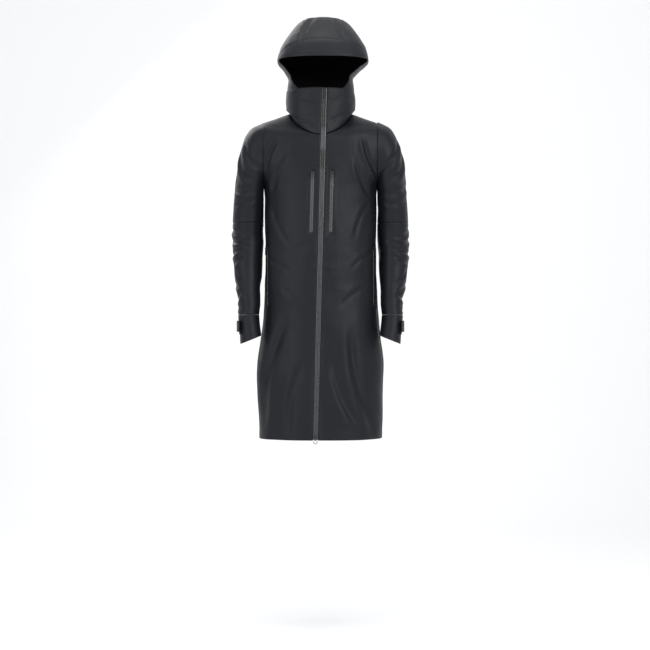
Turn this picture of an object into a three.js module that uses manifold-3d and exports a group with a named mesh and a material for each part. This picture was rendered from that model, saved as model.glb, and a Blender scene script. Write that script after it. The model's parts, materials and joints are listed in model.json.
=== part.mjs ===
// A knee-length hooded hardshell coat, held up by its hanger loop: millimetres, +Z up, front towards -Y,
// the wearer's right side on -X. The sizes are measured from the neck point, where shoulder meets collar,
// and the whole group is then moved so that its origin is the hanger loop.
import * as THREE from "three";
import { mergeVertices } from "three/addons/utils/BufferGeometryUtils.js";
import Module from "manifold-3d";

const wasm = await Module();
wasm.setup();

// Overall sizes.
const COAT_LENGTH = 1022; // neck point down to the hem
const SLEEVE_LENGTH = 727; // neck point down to the outer edge of the cuff
const CHEST_HALF = 171;
const WAIST_HALF = 175;
const HIP_HALF = 197;
const HEM_HALF = 191;
const SHOULDER_REACH = 70; // the shoulder point lies this far past the plane of the armhole
const COLLAR_HALF = 109;
const HOOD_HEIGHT = 298;
const BRIM_Z = 152; // lower edge of the hood's brim
const UNDERARM = 235; // neck point down to the bottom of the armhole
const WALL = 2.2; // three-layer laminate with its seam allowance
const GAP = 0.3; // clearance between neighbouring pieces
const LINING_GAP = 1.2; // clearance behind the shell, whose facets cut across its curves

// Front closure.
const ZIP_TOP_Z = 66;
const ZIP_TAPE = 7.5; // half-width of the closed main zip
const ZIP_CENTRE_GAP = 0.8; // half the slot between the two tapes
const TAPE_THICK = 1.6;
const ZIP_LEAN = 24 / 942; // sideways run of the front edge for each unit of height
const ZIP_X_AT_NECK = 10.9;
const FRONT_Y_AT_NECK = -111.2;
const FRONT_SLOPE = 0.0384; // the front stands further out towards the hem
const FLAP_DEPTH = 5.2; // the storm flap's face behind the front, clear of the slider's back plate

// Pockets.
const CHEST_ZIP = { offset: 30, top: 193, length: 190, half: 4, depth: 7 };
const HAND_ZIP = { x: 167.2, top: 424, length: 181, half: 5, depth: 7 };

// Armhole: both sleeves start on an upright plane just outside the body.
const ARM_X = Math.max(CHEST_HALF, WAIST_HALF) + 3;
const SHOULDER_HALF = ARM_X + SHOULDER_REACH;
const ARM_TOP = 36;
const ELBOW_Z = -400;
const ELBOW_HALF = 50; // the soft elbow section runs this far above and below the elbow

const SIDE_SEAM_FRONT = -11 * (Math.PI / 180);
const SIDE_SEAM_BACK = 32 * (Math.PI / 180);
const BACK_SEAM_Z = 330;
const POLAR_EXPONENT = 2.4; // roundness of the body's cross-section, between an ellipse and a rectangle

const NECK_BACK = 80; // depth of the back at the foot of the collar
const HANGER = { y: 71, z: 2 }; // middle of the hanger loop, seen from the neck point

const coat = new THREE.Group();
coat.position.set(0, -HANGER.y, -HANGER.z);

const finishes = {
  shell: { color: 0x2b2c30, roughness: 0.72, metalness: 0 },
  hood: { color: 0x35363a, roughness: 0.72, metalness: 0 },
  lining: { color: 0x141518, roughness: 0.85, metalness: 0 },
  tape: { color: 0x77797c, roughness: 0.32, metalness: 0 },
  metal: { color: 0x5b5c5f, roughness: 0.35, metalness: 0.9 },
  cord: { color: 0x0d0d0f, roughness: 0.6, metalness: 0 },
};

function add(name, geometry, finish) {
  const mesh = new THREE.Mesh(geometry, new THREE.MeshStandardMaterial(finishes[finish]));
  mesh.name = name;
  coat.add(mesh);
}

// --- solids ----------------------------------------------------------------------------------------

// Corner points shared by neighbouring faces, without the faces that closed up to nothing at a pole.
function welded(geometry) {
  const bare = new THREE.BufferGeometry();
  bare.setAttribute("position", geometry.getAttribute("position"));
  if (geometry.index) bare.setIndex(geometry.index);
  const merged = mergeVertices(bare, 1e-4);
  const kept = [];
  const index = merged.index.array;
  for (let i = 0; i < index.length; i += 3) {
    const [a, b, c] = [index[i], index[i + 1], index[i + 2]];
    if (a !== b && b !== c && c !== a) kept.push(a, b, c);
  }
  merged.setIndex(kept);
  return merged;
}

function toManifold(geometry) {
  const g = welded(geometry);
  return new wasm.Manifold(
    new wasm.Mesh({
      numProp: 3,
      vertProperties: g.attributes.position.array,
      triVerts: new Uint32Array(g.index.array),
    }),
  );
}

function fromManifold(solid) {
  const mesh = solid.getMesh();
  const geometry = new THREE.BufferGeometry();
  geometry.setAttribute("position", new THREE.BufferAttribute(new Float32Array(mesh.vertProperties), 3));
  geometry.setIndex(Array.from(mesh.triVerts));
  return geometry;
}

const cut = (geometry, ...tools) =>
  fromManifold(tools.reduce((rest, tool) => rest.subtract(toManifold(tool)), toManifold(geometry)));
const join = (first, ...others) =>
  fromManifold(others.reduce((whole, other) => whole.add(toManifold(other)), toManifold(first)));
const common = (geometry, tool) => fromManifold(toManifold(geometry).intersect(toManifold(tool)));

function boxBetween(low, high) {
  const size = high.map((value, i) => value - low[i]);
  const middle = high.map((value, i) => (value + low[i]) / 2);
  return new THREE.BoxGeometry(...size).translate(...middle);
}

// A flat outline given in (y, z), carried along x between two values.
function sideProfile(points, x0, x1) {
  const shape = new THREE.Shape(points.map(([y, z]) => new THREE.Vector2(y, z)));
  const solid = new THREE.ExtrudeGeometry(shape, { depth: x1 - x0, bevelEnabled: false });
  const turn = new THREE.Matrix4().makeBasis(
    new THREE.Vector3(0, 1, 0),
    new THREE.Vector3(0, 0, 1),
    new THREE.Vector3(1, 0, 0),
  );
  return solid.applyMatrix4(turn).translate(x0, 0, 0);
}

// A closed wall that follows a surface. point(u, v) is the surface, span(v) gives the first and last u of
// a row, and the wall fills the depth from `from` to `to`, measured inwards along the surface's normal.
function panel({ point, rows, span, columns, from = 0, to = WALL, loop = false }) {
  const step = 1e-3;
  const [lowest, highest] = [rows[0], rows[rows.length - 1]];
  const at = (u, v, depth) => {
    const [v0, v1] = [Math.max(lowest, v - step), Math.min(highest, v + step)];
    const along = point(u + step, v).sub(point(u - step, v));
    const up = point(u, v1).sub(point(u, v0));
    const normal = along.cross(up).normalize();
    return point(u, v).addScaledVector(normal, -depth);
  };
  const across = loop ? columns : columns + 1;
  const positions = [];
  for (const depth of [from, to]) {
    for (const v of rows) {
      const [u0, u1] = span(v);
      for (let i = 0; i < across; i++) {
        positions.push(...at(u0 + ((u1 - u0) * i) / columns, v, depth).toArray());
      }
    }
  }
  const id = (side, row, i) => (side * rows.length + row) * across + (loop ? i % columns : i);
  const faces = [];
  const quad = (a, b, c, d) => faces.push(a, b, c, a, c, d);
  for (let r = 0; r + 1 < rows.length; r++) {
    for (let i = 0; i < columns; i++) {
      quad(id(0, r, i), id(0, r, i + 1), id(0, r + 1, i + 1), id(0, r + 1, i));
      quad(id(1, r, i), id(1, r + 1, i), id(1, r + 1, i + 1), id(1, r, i + 1));
    }
    if (loop) continue;
    quad(id(0, r, 0), id(0, r + 1, 0), id(1, r + 1, 0), id(1, r, 0));
    quad(id(0, r, columns), id(1, r, columns), id(1, r + 1, columns), id(0, r + 1, columns));
  }
  const top = rows.length - 1;
  for (let i = 0; i < columns; i++) {
    quad(id(0, 0, i), id(1, 0, i), id(1, 0, i + 1), id(0, 0, i + 1));
    quad(id(0, top, i), id(0, top, i + 1), id(1, top, i + 1), id(1, top, i));
  }
  const geometry = new THREE.BufferGeometry();
  geometry.setAttribute("position", new THREE.Float32BufferAttribute(positions, 3));
  geometry.setIndex(faces);
  return welded(geometry);
}

// Rows of a table joined by straight lines: table is a list of [key, ...values] with rising keys.
function lookUp(table, key) {
  let i = 1;
  while (i < table.length - 1 && table[i][0] < key) i++;
  const [a, b] = [table[i - 1], table[i]];
  const t = THREE.MathUtils.clamp((key - a[0]) / (b[0] - a[0]), 0, 1);
  return a.map((value, k) => value + (b[k] - value) * t);
}

function rowsBetween(table, low, high) {
  const inner = table.map((row) => row[0]).filter((key) => key > low + 2 && key < high - 2);
  return [low, ...inner, high];
}

// Radius of a rounded rectangle with half-sizes a and b, in the direction of an angle.
const roundRadius = (angle, a, b, n) =>
  (Math.abs(Math.cos(angle) / a) ** n + Math.abs(Math.sin(angle) / b) ** n) ** (-1 / n);

// A closed body through a list of rings that all have the same number of points, with flat ends.
function loft(rings) {
  const count = rings[0].length;
  const positions = rings.flat().flatMap((p) => p.toArray());
  const faces = [];
  for (let r = 0; r + 1 < rings.length; r++) {
    for (let i = 0; i < count; i++) {
      const [a, b] = [r * count + i, r * count + ((i + 1) % count)];
      faces.push(a, b, b + count, a, b + count, a + count);
    }
  }
  for (const [ring, turned] of [[0, true], [rings.length - 1, false]]) {
    const centre = rings[ring].reduce((sum, p) => sum.add(p), new THREE.Vector3()).divideScalar(count);
    const hub = positions.length / 3;
    positions.push(...centre.toArray());
    for (let i = 0; i < count; i++) {
      const [a, b] = [ring * count + i, ring * count + ((i + 1) % count)];
      faces.push(...(turned ? [b, a, hub] : [a, b, hub]));
    }
  }
  const geometry = new THREE.BufferGeometry();
  geometry.setAttribute("position", new THREE.Float32BufferAttribute(positions, 3));
  geometry.setIndex(faces);
  return geometry;
}

// --- coat body ---------------------------------------------------------------------------------------

const frontY = (z) => FRONT_Y_AT_NECK + FRONT_SLOPE * z;
const zipX = (z) => ZIP_X_AT_NECK + ZIP_LEAN * z;
const skirtZ = (share) => -(UNDERARM + share * (COAT_LENGTH - UNDERARM));

// Each row: key, half-width, height at the side, at the front and at the back, and the back's depth.
const bodyRows = [
  [skirtZ(1), HEM_HALF, skirtZ(1), skirtZ(1), skirtZ(1), 130],
  [skirtZ(0.726), HIP_HALF, skirtZ(0.726), skirtZ(0.726), skirtZ(0.726), 118],
  [skirtZ(0.59), (HIP_HALF + WAIST_HALF) / 2, skirtZ(0.59), skirtZ(0.59), skirtZ(0.59), 108],
  [skirtZ(0.464), WAIST_HALF + 3, skirtZ(0.464), skirtZ(0.464), skirtZ(0.464), 100],
  [skirtZ(0.337), WAIST_HALF, skirtZ(0.337), skirtZ(0.337), skirtZ(0.337), 96],
  [skirtZ(0.21), (WAIST_HALF + CHEST_HALF) / 2, skirtZ(0.21), skirtZ(0.21), skirtZ(0.21), 97],
  [skirtZ(0.083), CHEST_HALF, skirtZ(0.083), skirtZ(0.083), skirtZ(0.083), 102],
  [-UNDERARM, ARM_X, -UNDERARM, -UNDERARM, -UNDERARM, 105],
  [-200, ARM_X + 22, -200, -200, -200, 106],
  [-150, SHOULDER_HALF - 12, -150, -158, -150, 107],
  [-108, SHOULDER_HALF, -108, -138, -118, 107],
  [-70, SHOULDER_HALF - 15, -70, -122, -88, 104],
  [-51, SHOULDER_HALF - 31, -51, -112, -68, 101],
  [-35, ARM_X + 5, -35, -102, -48, 96],
  [-20, 141, -20, -92, -28, 89],
  [-3, 96, -3, -80, -8, NECK_BACK],
];

function ringPoint(rows, angle, key) {
  const [, half, sideZ, frontZ, backZ, backY] = lookUp(rows, key);
  const lean = Math.sin(angle);
  const z = lean < 0 ? sideZ + (frontZ - sideZ) * lean ** 2 : sideZ + (backZ - sideZ) * lean ** 2;
  const depth = lean < 0 ? -frontY(frontZ) : backY;
  const r = roundRadius(angle, half, depth, POLAR_EXPONENT);
  return new THREE.Vector3(r * Math.cos(angle), r * Math.sin(angle), z);
}

// The angle at which a ring's front passes a given x.
function frontAngle(rows, x, key) {
  const [, half, , frontZ] = lookUp(rows, key);
  const y = frontY(frontZ) * (1 - Math.abs(x / half) ** POLAR_EXPONENT) ** (1 / POLAR_EXPONENT);
  return Math.atan2(y, x);
}

const bodyPoint = (angle, key) => ringPoint(bodyRows, angle, key);
const mirrored = ([a, b]) => [-Math.PI - b, -Math.PI - a];
const seamGap = GAP / 2 / ARM_X; // half the gap, as an angle

// Below the armhole the seams run down the sides, above it front and yoke meet on the shoulder line.
const seamAt = (angle, key) => (key < -UNDERARM ? angle : 0);

function frontSpan(rows, seam, side) {
  return (key) => {
    const [, , , frontZ] = lookUp(rows, key);
    const edge = frontAngle(rows, zipX(frontZ) + side * (ZIP_TAPE + GAP), key);
    return side > 0 ? [edge, seam(key) - seamGap] : [-Math.PI - seam(key) + seamGap, edge];
  };
}

const BEYOND = 500; // clear past every piece, for cutting boxes

const armBox = (side) => {
  const [near, far] = side > 0 ? [ARM_X, BEYOND] : [-BEYOND, -ARM_X];
  return boxBetween([near, -BEYOND, -UNDERARM - 10], [far, BEYOND, BEYOND]);
};

const SIDES = [
  ["right", -1],
  ["left", 1],
];
const lowestBody = bodyRows[0][0];
const neckKey = bodyRows[bodyRows.length - 1][0];
const underarmRows = [-UNDERARM - GAP / 2, -UNDERARM + GAP / 2];
const withUnderarm = (rows) => rows.flatMap((key) => (key === -UNDERARM ? underarmRows : [key]));
const allRows = withUnderarm(rowsBetween(bodyRows, lowestBody, neckKey));

// Straight zips are drawn in a frame of their own: x across, y inwards, z along, from the lower end.
function zipFrame(lower, upper, outward) {
  const along = upper.clone().sub(lower);
  const length = along.length();
  along.normalize();
  const inward = outward.clone().negate().addScaledVector(along, outward.dot(along)).normalize();
  const across = new THREE.Vector3().crossVectors(inward, along);
  const matrix = new THREE.Matrix4().makeBasis(across, inward, along).setPosition(lower);
  return { matrix, length, along, inward, across };
}

const onFront = (z) => new THREE.Vector3(zipX(z), frontY(z), z);
const FRONT_OUT = new THREE.Vector3(0, -1, 0);
const mainZip = zipFrame(onFront(lowestBody + 2), onFront(ZIP_TOP_Z), FRONT_OUT);

function chestFrame(side) {
  const point = (z) => {
    const x = zipX(z) + side * CHEST_ZIP.offset;
    return bodyPoint(frontAngle(bodyRows, x, z), z);
  };
  return zipFrame(point(-CHEST_ZIP.top - CHEST_ZIP.length), point(-CHEST_ZIP.top), FRONT_OUT);
}

function handFrame(side) {
  const point = (z) => bodyPoint(frontAngle(bodyRows, side * HAND_ZIP.x, z), z);
  const [low, high] = [point(-HAND_ZIP.top - HAND_ZIP.length), point(-HAND_ZIP.top)];
  const middle = (-2 * HAND_ZIP.top - HAND_ZIP.length) / 2;
  const angle = frontAngle(bodyRows, side * HAND_ZIP.x, middle);
  const tangent = bodyPoint(angle + 0.01, middle).sub(bodyPoint(angle - 0.01, middle));
  return zipFrame(low, high, tangent.cross(new THREE.Vector3(0, 0, 1)).normalize());
}

const zipWindow = (zip, frame) =>
  boxBetween([-zip.half - GAP, -12, -GAP], [zip.half + GAP, 8, frame.length + GAP]).applyMatrix4(frame.matrix);

// Each front is one cloth, laid out here as three solids, so that the hulls that stand for it in
// contact follow the hollow waist, where a hull over the whole front would bury the hand zip's pull.
const WAIST_MARGIN = 9; // the waist's solid reaches this far past the hand zip's ends
const waistTop = -HAND_ZIP.top + WAIST_MARGIN;
const waistLow = -HAND_ZIP.top - HAND_ZIP.length - WAIST_MARGIN;
const frontParts = [
  ["front_panel", waistTop + GAP / 2, BEYOND],
  ["front_waist", waistLow + GAP / 2, waistTop - GAP / 2],
  ["front_skirt", -COAT_LENGTH - BEYOND, waistLow - GAP / 2],
];
const FACET = 19; // width of a flat facet of the front

for (const [name, side] of SIDES) {
  const chest = chestFrame(side);
  const hand = handFrame(side);
  const front = panel({
    point: bodyPoint,
    rows: allRows,
    span: frontSpan(bodyRows, (key) => seamAt(SIDE_SEAM_FRONT, key), side),
    columns: Math.ceil(CHEST_HALF / FACET),
  });
  const opened = cut(front, armBox(side), zipWindow(CHEST_ZIP, chest), zipWindow(HAND_ZIP, hand));
  for (const [part, low, high] of frontParts) {
    const slice = boxBetween([-BEYOND, -BEYOND, low], [BEYOND, BEYOND, high]);
    add(`${part}_${name}`, common(opened, slice), "shell");
  }

  const spanLeft = [SIDE_SEAM_FRONT + seamGap, SIDE_SEAM_BACK - seamGap];
  const sidePanel = panel({
    point: bodyPoint,
    rows: rowsBetween(bodyRows, lowestBody, -UNDERARM - 2 * GAP),
    span: () => (side > 0 ? spanLeft : mirrored(spanLeft)),
    columns: 4,
  });
  add(`side_panel_${name}`, sidePanel, "shell");

  for (const [pocket, zip, frame] of [["chest", CHEST_ZIP, chest], ["hand", HAND_ZIP, hand]]) {
    const tape = boxBetween([-zip.half, 0, 0], [zip.half, TAPE_THICK, frame.length]);
    add(`${pocket}_pocket_zip_${name}`, tape.applyMatrix4(frame.matrix), "tape");
  }
}

// The bags hang inside the front, with a channel that leaves room behind each zip.
function pocketBag(name, side, zip, frame, top, bottom, inner, outer) {
  const span = (key) => {
    const [x0, x1] = [inner, outer].map((x) => frontAngle(bodyRows, side * x, key));
    return side > 0 ? [x0, x1] : [x1, x0];
  };
  const depths = { from: WALL + LINING_GAP, to: WALL + LINING_GAP + zip.depth };
  const bag = panel({ point: bodyPoint, rows: rowsBetween(bodyRows, -bottom, -top), span, columns: 4, ...depths });
  const channel = boxBetween([-zip.half - 2.5, -2, -20], [zip.half + 2.5, zip.depth, frame.length + 20]);
  add(name, cut(bag, channel.applyMatrix4(frame.matrix)), "lining");
}
for (const [name, side] of SIDES) {
  const chestX = zipX(-280) * side;
  pocketBag(`chest_pocket_bag_${name}`, side, CHEST_ZIP, chestFrame(side), 205, 370, 20.5 + chestX, 104);
  pocketBag(`hand_pocket_bag_${name}`, side, HAND_ZIP, handFrame(side), 438, 596, 62, HAND_ZIP.x + 2.5);
}

const backSpan = (key) => {
  const seam = seamAt(SIDE_SEAM_BACK, key) + seamGap;
  return [seam, Math.PI - seam];
};
const backSeam = -BACK_SEAM_Z;
const yoke = panel({
  point: bodyPoint,
  rows: withUnderarm(rowsBetween(bodyRows, backSeam + GAP / 2, neckKey)),
  span: backSpan,
  columns: 14,
});
add("back_yoke", cut(yoke, armBox(1), armBox(-1)), "shell");
const backSkirt = panel({
  point: bodyPoint,
  rows: rowsBetween(bodyRows, lowestBody, backSeam - GAP / 2),
  span: backSpan,
  columns: 12,
});
add("back_skirt", backSkirt, "shell");

// --- collar ------------------------------------------------------------------------------------------

const SEAM_LIFT = 0.6; // clearance above a seam that runs round the neck
const collarRows = [
  [0, 96, -3 + SEAM_LIFT, -80 + SEAM_LIFT, -8 + SEAM_LIFT, NECK_BACK],
  [13, COLLAR_HALF, 10, -40, 8, 82],
  [41, COLLAR_HALF, 38, 15, 35, 86],
  [67, COLLAR_HALF - 3, 64, ZIP_TOP_Z + 1, 64, 89],
];
const collarPoint = (angle, key) => ringPoint(collarRows, angle, key);
const COLLAR_SEAM = THREE.MathUtils.degToRad(35);
const collarGap = GAP / 2 / COLLAR_HALF + 0.0005;
const collarKeys = collarRows.map((row) => row[0]);
for (const [name, side] of SIDES) {
  const seam = () => COLLAR_SEAM - collarGap;
  const collar = panel({ point: collarPoint, rows: collarKeys, span: frontSpan(collarRows, seam, side), columns: 16 });
  add(`collar_${name}`, collar, "hood");
}
const collarBackSpan = () => [COLLAR_SEAM + collarGap, Math.PI - COLLAR_SEAM - collarGap];
add(
  "collar_back",
  panel({ point: collarPoint, rows: collarKeys, span: collarBackSpan, columns: 8 }),
  "hood",
);
const chinSpan = (key) => [frontAngle(collarRows, 22, key), THREE.MathUtils.degToRad(-40)];
const chinGuard = { from: WALL + LINING_GAP, to: WALL + LINING_GAP + 1.5 };
add(
  "chin_guard",
  panel({ point: collarPoint, rows: [20, 41, 62], span: chinSpan, columns: 4, ...chinGuard }),
  "lining",
);

// --- main zip ----------------------------------------------------------------------------------------

for (const [name, side] of SIDES) {
  const [x0, x1] = side > 0 ? [ZIP_CENTRE_GAP, ZIP_TAPE] : [-ZIP_TAPE, -ZIP_CENTRE_GAP];
  const tape = boxBetween([x0, 0, 0], [x1, TAPE_THICK, mainZip.length]);
  add(`main_zip_tape_${name}`, tape.applyMatrix4(mainZip.matrix), "tape");
}
const FLAP = { free: -16, bend: 8.6, sewn: 17, thick: 1.2, top: -90 };
const flapShape = new THREE.Shape(
  [
    [FLAP.free, FLAP_DEPTH],
    [FLAP.bend, FLAP_DEPTH],
    [FLAP.bend, WALL + LINING_GAP],
    [FLAP.sewn, WALL + LINING_GAP],
    [FLAP.sewn, FLAP_DEPTH + FLAP.thick],
    [FLAP.free, FLAP_DEPTH + FLAP.thick],
  ].map(([x, y]) => new THREE.Vector2(x, y)),
);
const flapLength = mainZip.length - (ZIP_TOP_Z - FLAP.top) / mainZip.along.z;
const flap = new THREE.ExtrudeGeometry(flapShape, { depth: flapLength, bevelEnabled: false });
add("storm_flap", flap.applyMatrix4(mainZip.matrix), "lining");

// A slider: a front plate with two ears and a pin for its pull. On the main zip a web passes between
// the tapes to a back plate. `nose` is the height of the pin along the zip, from the slider's middle.

const PIN_Y = -5; // a pull turns on a pin this far in front of its zip

function sliderGeometry({ half, length, back, nose }) {
  const low = -length / 2;
  const parts = [boxBetween([-half, -2.4, low], [half, -0.4, low + length])];
  if (back) {
    parts.push(boxBetween([-0.4, -1, low], [0.4, 3, low + length]));
    parts.push(boxBetween([-half, TAPE_THICK + 0.4, low], [half, TAPE_THICK + 2, low + length]));
  }
  for (const ear of [-1, 1]) {
    const [x0, x1] = ear > 0 ? [2, 3.2] : [-3.2, -2];
    parts.push(boxBetween([x0, PIN_Y - 1.1, nose - 1.6], [x1, -2, nose + 1.6]));
  }
  const pin = new THREE.CylinderGeometry(0.8, 0.8, 5, 10).rotateZ(Math.PI / 2).translate(0, PIN_Y, nose);
  return join(...parts, pin);
}

// A pull hangs from the pin by an eye; below it is a tab, or a ring where `ring` gives its radius.
function pullGeometry({ length, width, nose, ring }) {
  const eye = new THREE.Shape().absarc(PIN_Y, nose, 2, 0, 2 * Math.PI);
  eye.holes.push(new THREE.Path().absarc(PIN_Y, nose, 1.15, 0, 2 * Math.PI));
  const turn = new THREE.Matrix4().makeBasis(
    new THREE.Vector3(0, 1, 0),
    new THREE.Vector3(0, 0, 1),
    new THREE.Vector3(1, 0, 0),
  );
  const lug = new THREE.ExtrudeGeometry(eye, { depth: 3.2, bevelEnabled: false, curveSegments: 7 });
  lug.applyMatrix4(turn).translate(-1.6, 0, 0);
  const neck = boxBetween([-1.2, PIN_Y - 0.8, nose - 5], [1.2, PIN_Y + 0.8, nose - 1.5]);
  if (!ring) {
    const tab = boxBetween([-width / 2, PIN_Y - 0.9, nose - length], [width / 2, PIN_Y + 0.9, nose - 4]);
    return join(lug, neck, tab);
  }
  const outline = new THREE.Shape().absarc(0, 0, ring, 0, 2 * Math.PI);
  outline.holes.push(new THREE.Path().absarc(0, 0, ring - 1.7, 0, 2 * Math.PI));
  const loop = new THREE.ExtrudeGeometry(outline, { depth: 1.7, bevelEnabled: false, curveSegments: 12 });
  loop.rotateX(Math.PI / 2).translate(0, PIN_Y + 0.85, nose - 4 - ring);
  return join(lug, neck, loop);
}

const sliders = [
  {
    name: "main_upper",
    frame: mainZip,
    at: mainZip.length - 10,
    shape: { half: 5.5, length: 16, back: true, nose: 4 },
    pull: { length: 28, width: 4 },
  },
  {
    name: "main_lower",
    frame: mainZip,
    at: 9,
    shape: { half: 5.5, length: 15, back: true, nose: -5 },
    pull: { ring: 6.3 },
  },
];
for (const [name, side] of SIDES) {
  const chest = chestFrame(side);
  const hand = handFrame(side);
  sliders.push({
    name: `chest_${name}`,
    frame: chest,
    at: chest.length - 6,
    shape: { half: 3.6, length: 11, back: false, nose: 2 },
    pull: { length: 18, width: 4.4 },
  });
  sliders.push({
    name: `hand_${name}`,
    frame: hand,
    at: hand.length - 6,
    shape: { half: 3.6, length: 11, back: false, nose: 2 },
    pull: { length: 22, width: 4.4 },
  });
}
for (const { name, frame, at, shape, pull } of sliders) {
  const slider = sliderGeometry(shape).translate(0, 0, at).applyMatrix4(frame.matrix);
  add(`${name}_slider`, slider, "metal");
  const tag = pullGeometry({ ...pull, nose: shape.nose }).translate(0, 0, at).applyMatrix4(frame.matrix);
  add(`${name}_pull`, tag, pull.ring ? "metal" : "cord");
}

// --- hood --------------------------------------------------------------------------------------------

const FACE_EDGE = { low: -54, high: -34 }; // degrees, where the face opening crosses the neck gusset
const HOOD_SEAM_Z = 104;
const gussetRows = [
  [0, COLLAR_HALF - 3, 64 + SEAM_LIFT, ZIP_TOP_Z + 1 + SEAM_LIFT, 64 + SEAM_LIFT, 89],
  [20, COLLAR_HALF - 5, 84, 86, 84, 91],
  [40, COLLAR_HALF - 8, HOOD_SEAM_Z, HOOD_SEAM_Z, HOOD_SEAM_Z, 92],
];
const gussetSpan = (key) => {
  const edge = THREE.MathUtils.degToRad(FACE_EDGE.low + ((FACE_EDGE.high - FACE_EDGE.low) * key) / 40);
  return [edge, Math.PI - edge];
};
const gussetPoint = (angle, key) => ringPoint(gussetRows, angle, key);
add(
  "hood_neck_gusset",
  panel({ point: gussetPoint, rows: [0, 20, 40], span: gussetSpan, columns: 20 }),
  "hood",
);

// Each row: height, half-width, front, back, depth of the widest point, squareness, sideways shift.
const hoodRows = [
  [HOOD_SEAM_Z + SEAM_LIFT, COLLAR_HALF - 8, -107, 92, 0, 2.4, 0],
  [128, 120, -142, 106, -25, 2.5, 5],
  [BRIM_Z, 142, -178, 118, -55, 2.6, 9],
  [190, 134, -168, 126, -40, 2.5, 9],
  [225, 116, -142, 120, -25, 2.4, 9],
  [258, 94, -108, 102, -12, 2.3, 9],
  [282, 72, -74, 74, -5, 2.2, 9],
  [294, 48, -46, 46, 0, 2.1, 9],
  [HOOD_HEIGHT, 20, -18, 18, 0, 2, 9],
];
function hoodPoint(angle, key) {
  const [, half, frontEdge, backEdge, middle, n, shift] = lookUp(hoodRows, key);
  const depth = Math.sin(angle) < 0 ? middle - frontEdge : backEdge - middle;
  const r = roundRadius(angle, half, depth, n);
  return new THREE.Vector3(shift + r * Math.cos(angle), middle + r * Math.sin(angle), key);
}
function hoodRing(key, depth) {
  const count = 28;
  return Array.from({ length: count }, (_, i) => {
    const angle = (2 * Math.PI * i) / count;
    const along = hoodPoint(angle + 1e-3, key).sub(hoodPoint(angle - 1e-3, key));
    const above = Math.min(key + 0.5, HOOD_HEIGHT);
    const below = Math.max(key - 0.5, hoodRows[0][0]);
    const up = hoodPoint(angle, above).sub(hoodPoint(angle, below));
    return hoodPoint(angle, key).addScaledVector(along.cross(up).normalize(), -depth);
  });
}
const hoodKeys = hoodRows.map((row) => row[0]);
const hoodOutside = loft(hoodKeys.map((key) => hoodRing(key, 0)));
const innerRings = hoodKeys.map((key) => hoodRing(key, WALL));
const lowered = innerRings[0].map((p) => p.clone().add(new THREE.Vector3(0, 0, -20)));
const hoodInside = loft([lowered, ...innerRings]);
const faceEdgeTop = -106;
const faceOpening = sideProfile(
  [
    [-300, 60],
    [-60, 60],
    [-60, HOOD_SEAM_Z],
    [faceEdgeTop, BRIM_Z],
    [-300, BRIM_Z],
  ],
  -300,
  300,
);
const hoodShell = cut(hoodOutside, hoodInside, faceOpening);

// The brim is the stiff band in front of a sloping line; behind it the crown strip runs to the nape.
const brimLine = [
  [-72, BRIM_Z - 14],
  [-150, 202],
];
const brimSide = (shift) => {
  const moved = brimLine.map(([y, z]) => [y + shift, z + shift]);
  const foot = [moved[0][0], 60];
  return sideProfile([[-400, 60], foot, ...moved, [-400, moved[1][1] + 60]], -300, 300);
};
const hoodShift = 9;
const CROWN_HALF = 56;
const crownBox = (half) => boxBetween([hoodShift - half, -300, 0], [hoodShift + half, 300, 400]);
const behindBrim = cut(hoodShell, brimSide(GAP * 0.75));
add("hood_brim", common(hoodShell, brimSide(0)), "hood");
add("hood_crown", common(behindBrim, crownBox(CROWN_HALF)), "hood");
const hoodSides = { right: [-300, hoodShift - CROWN_HALF - GAP], left: [hoodShift + CROWN_HALF + GAP, 300] };
for (const [name, [x0, x1]] of Object.entries(hoodSides)) {
  add(`hood_side_${name}`, common(behindBrim, boxBetween([x0, -300, 0], [x1, 300, 400])), "hood");
}

const ADJUSTER = { half: 13, thick: 5, low: 186, high: 202 };
const adjusterBack = hoodPoint(Math.PI / 2, 190).y;
add(
  "hood_adjuster",
  boxBetween(
    [hoodShift - ADJUSTER.half, adjusterBack + GAP, ADJUSTER.low],
    [hoodShift + ADJUSTER.half, adjusterBack + GAP + ADJUSTER.thick, ADJUSTER.high],
  ),
  "cord",
);

// --- sleeves -----------------------------------------------------------------------------------------

const belowElbow = (share) => {
  const start = ELBOW_Z - ELBOW_HALF;
  return start - share * (SLEEVE_LENGTH + start);
};
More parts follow.
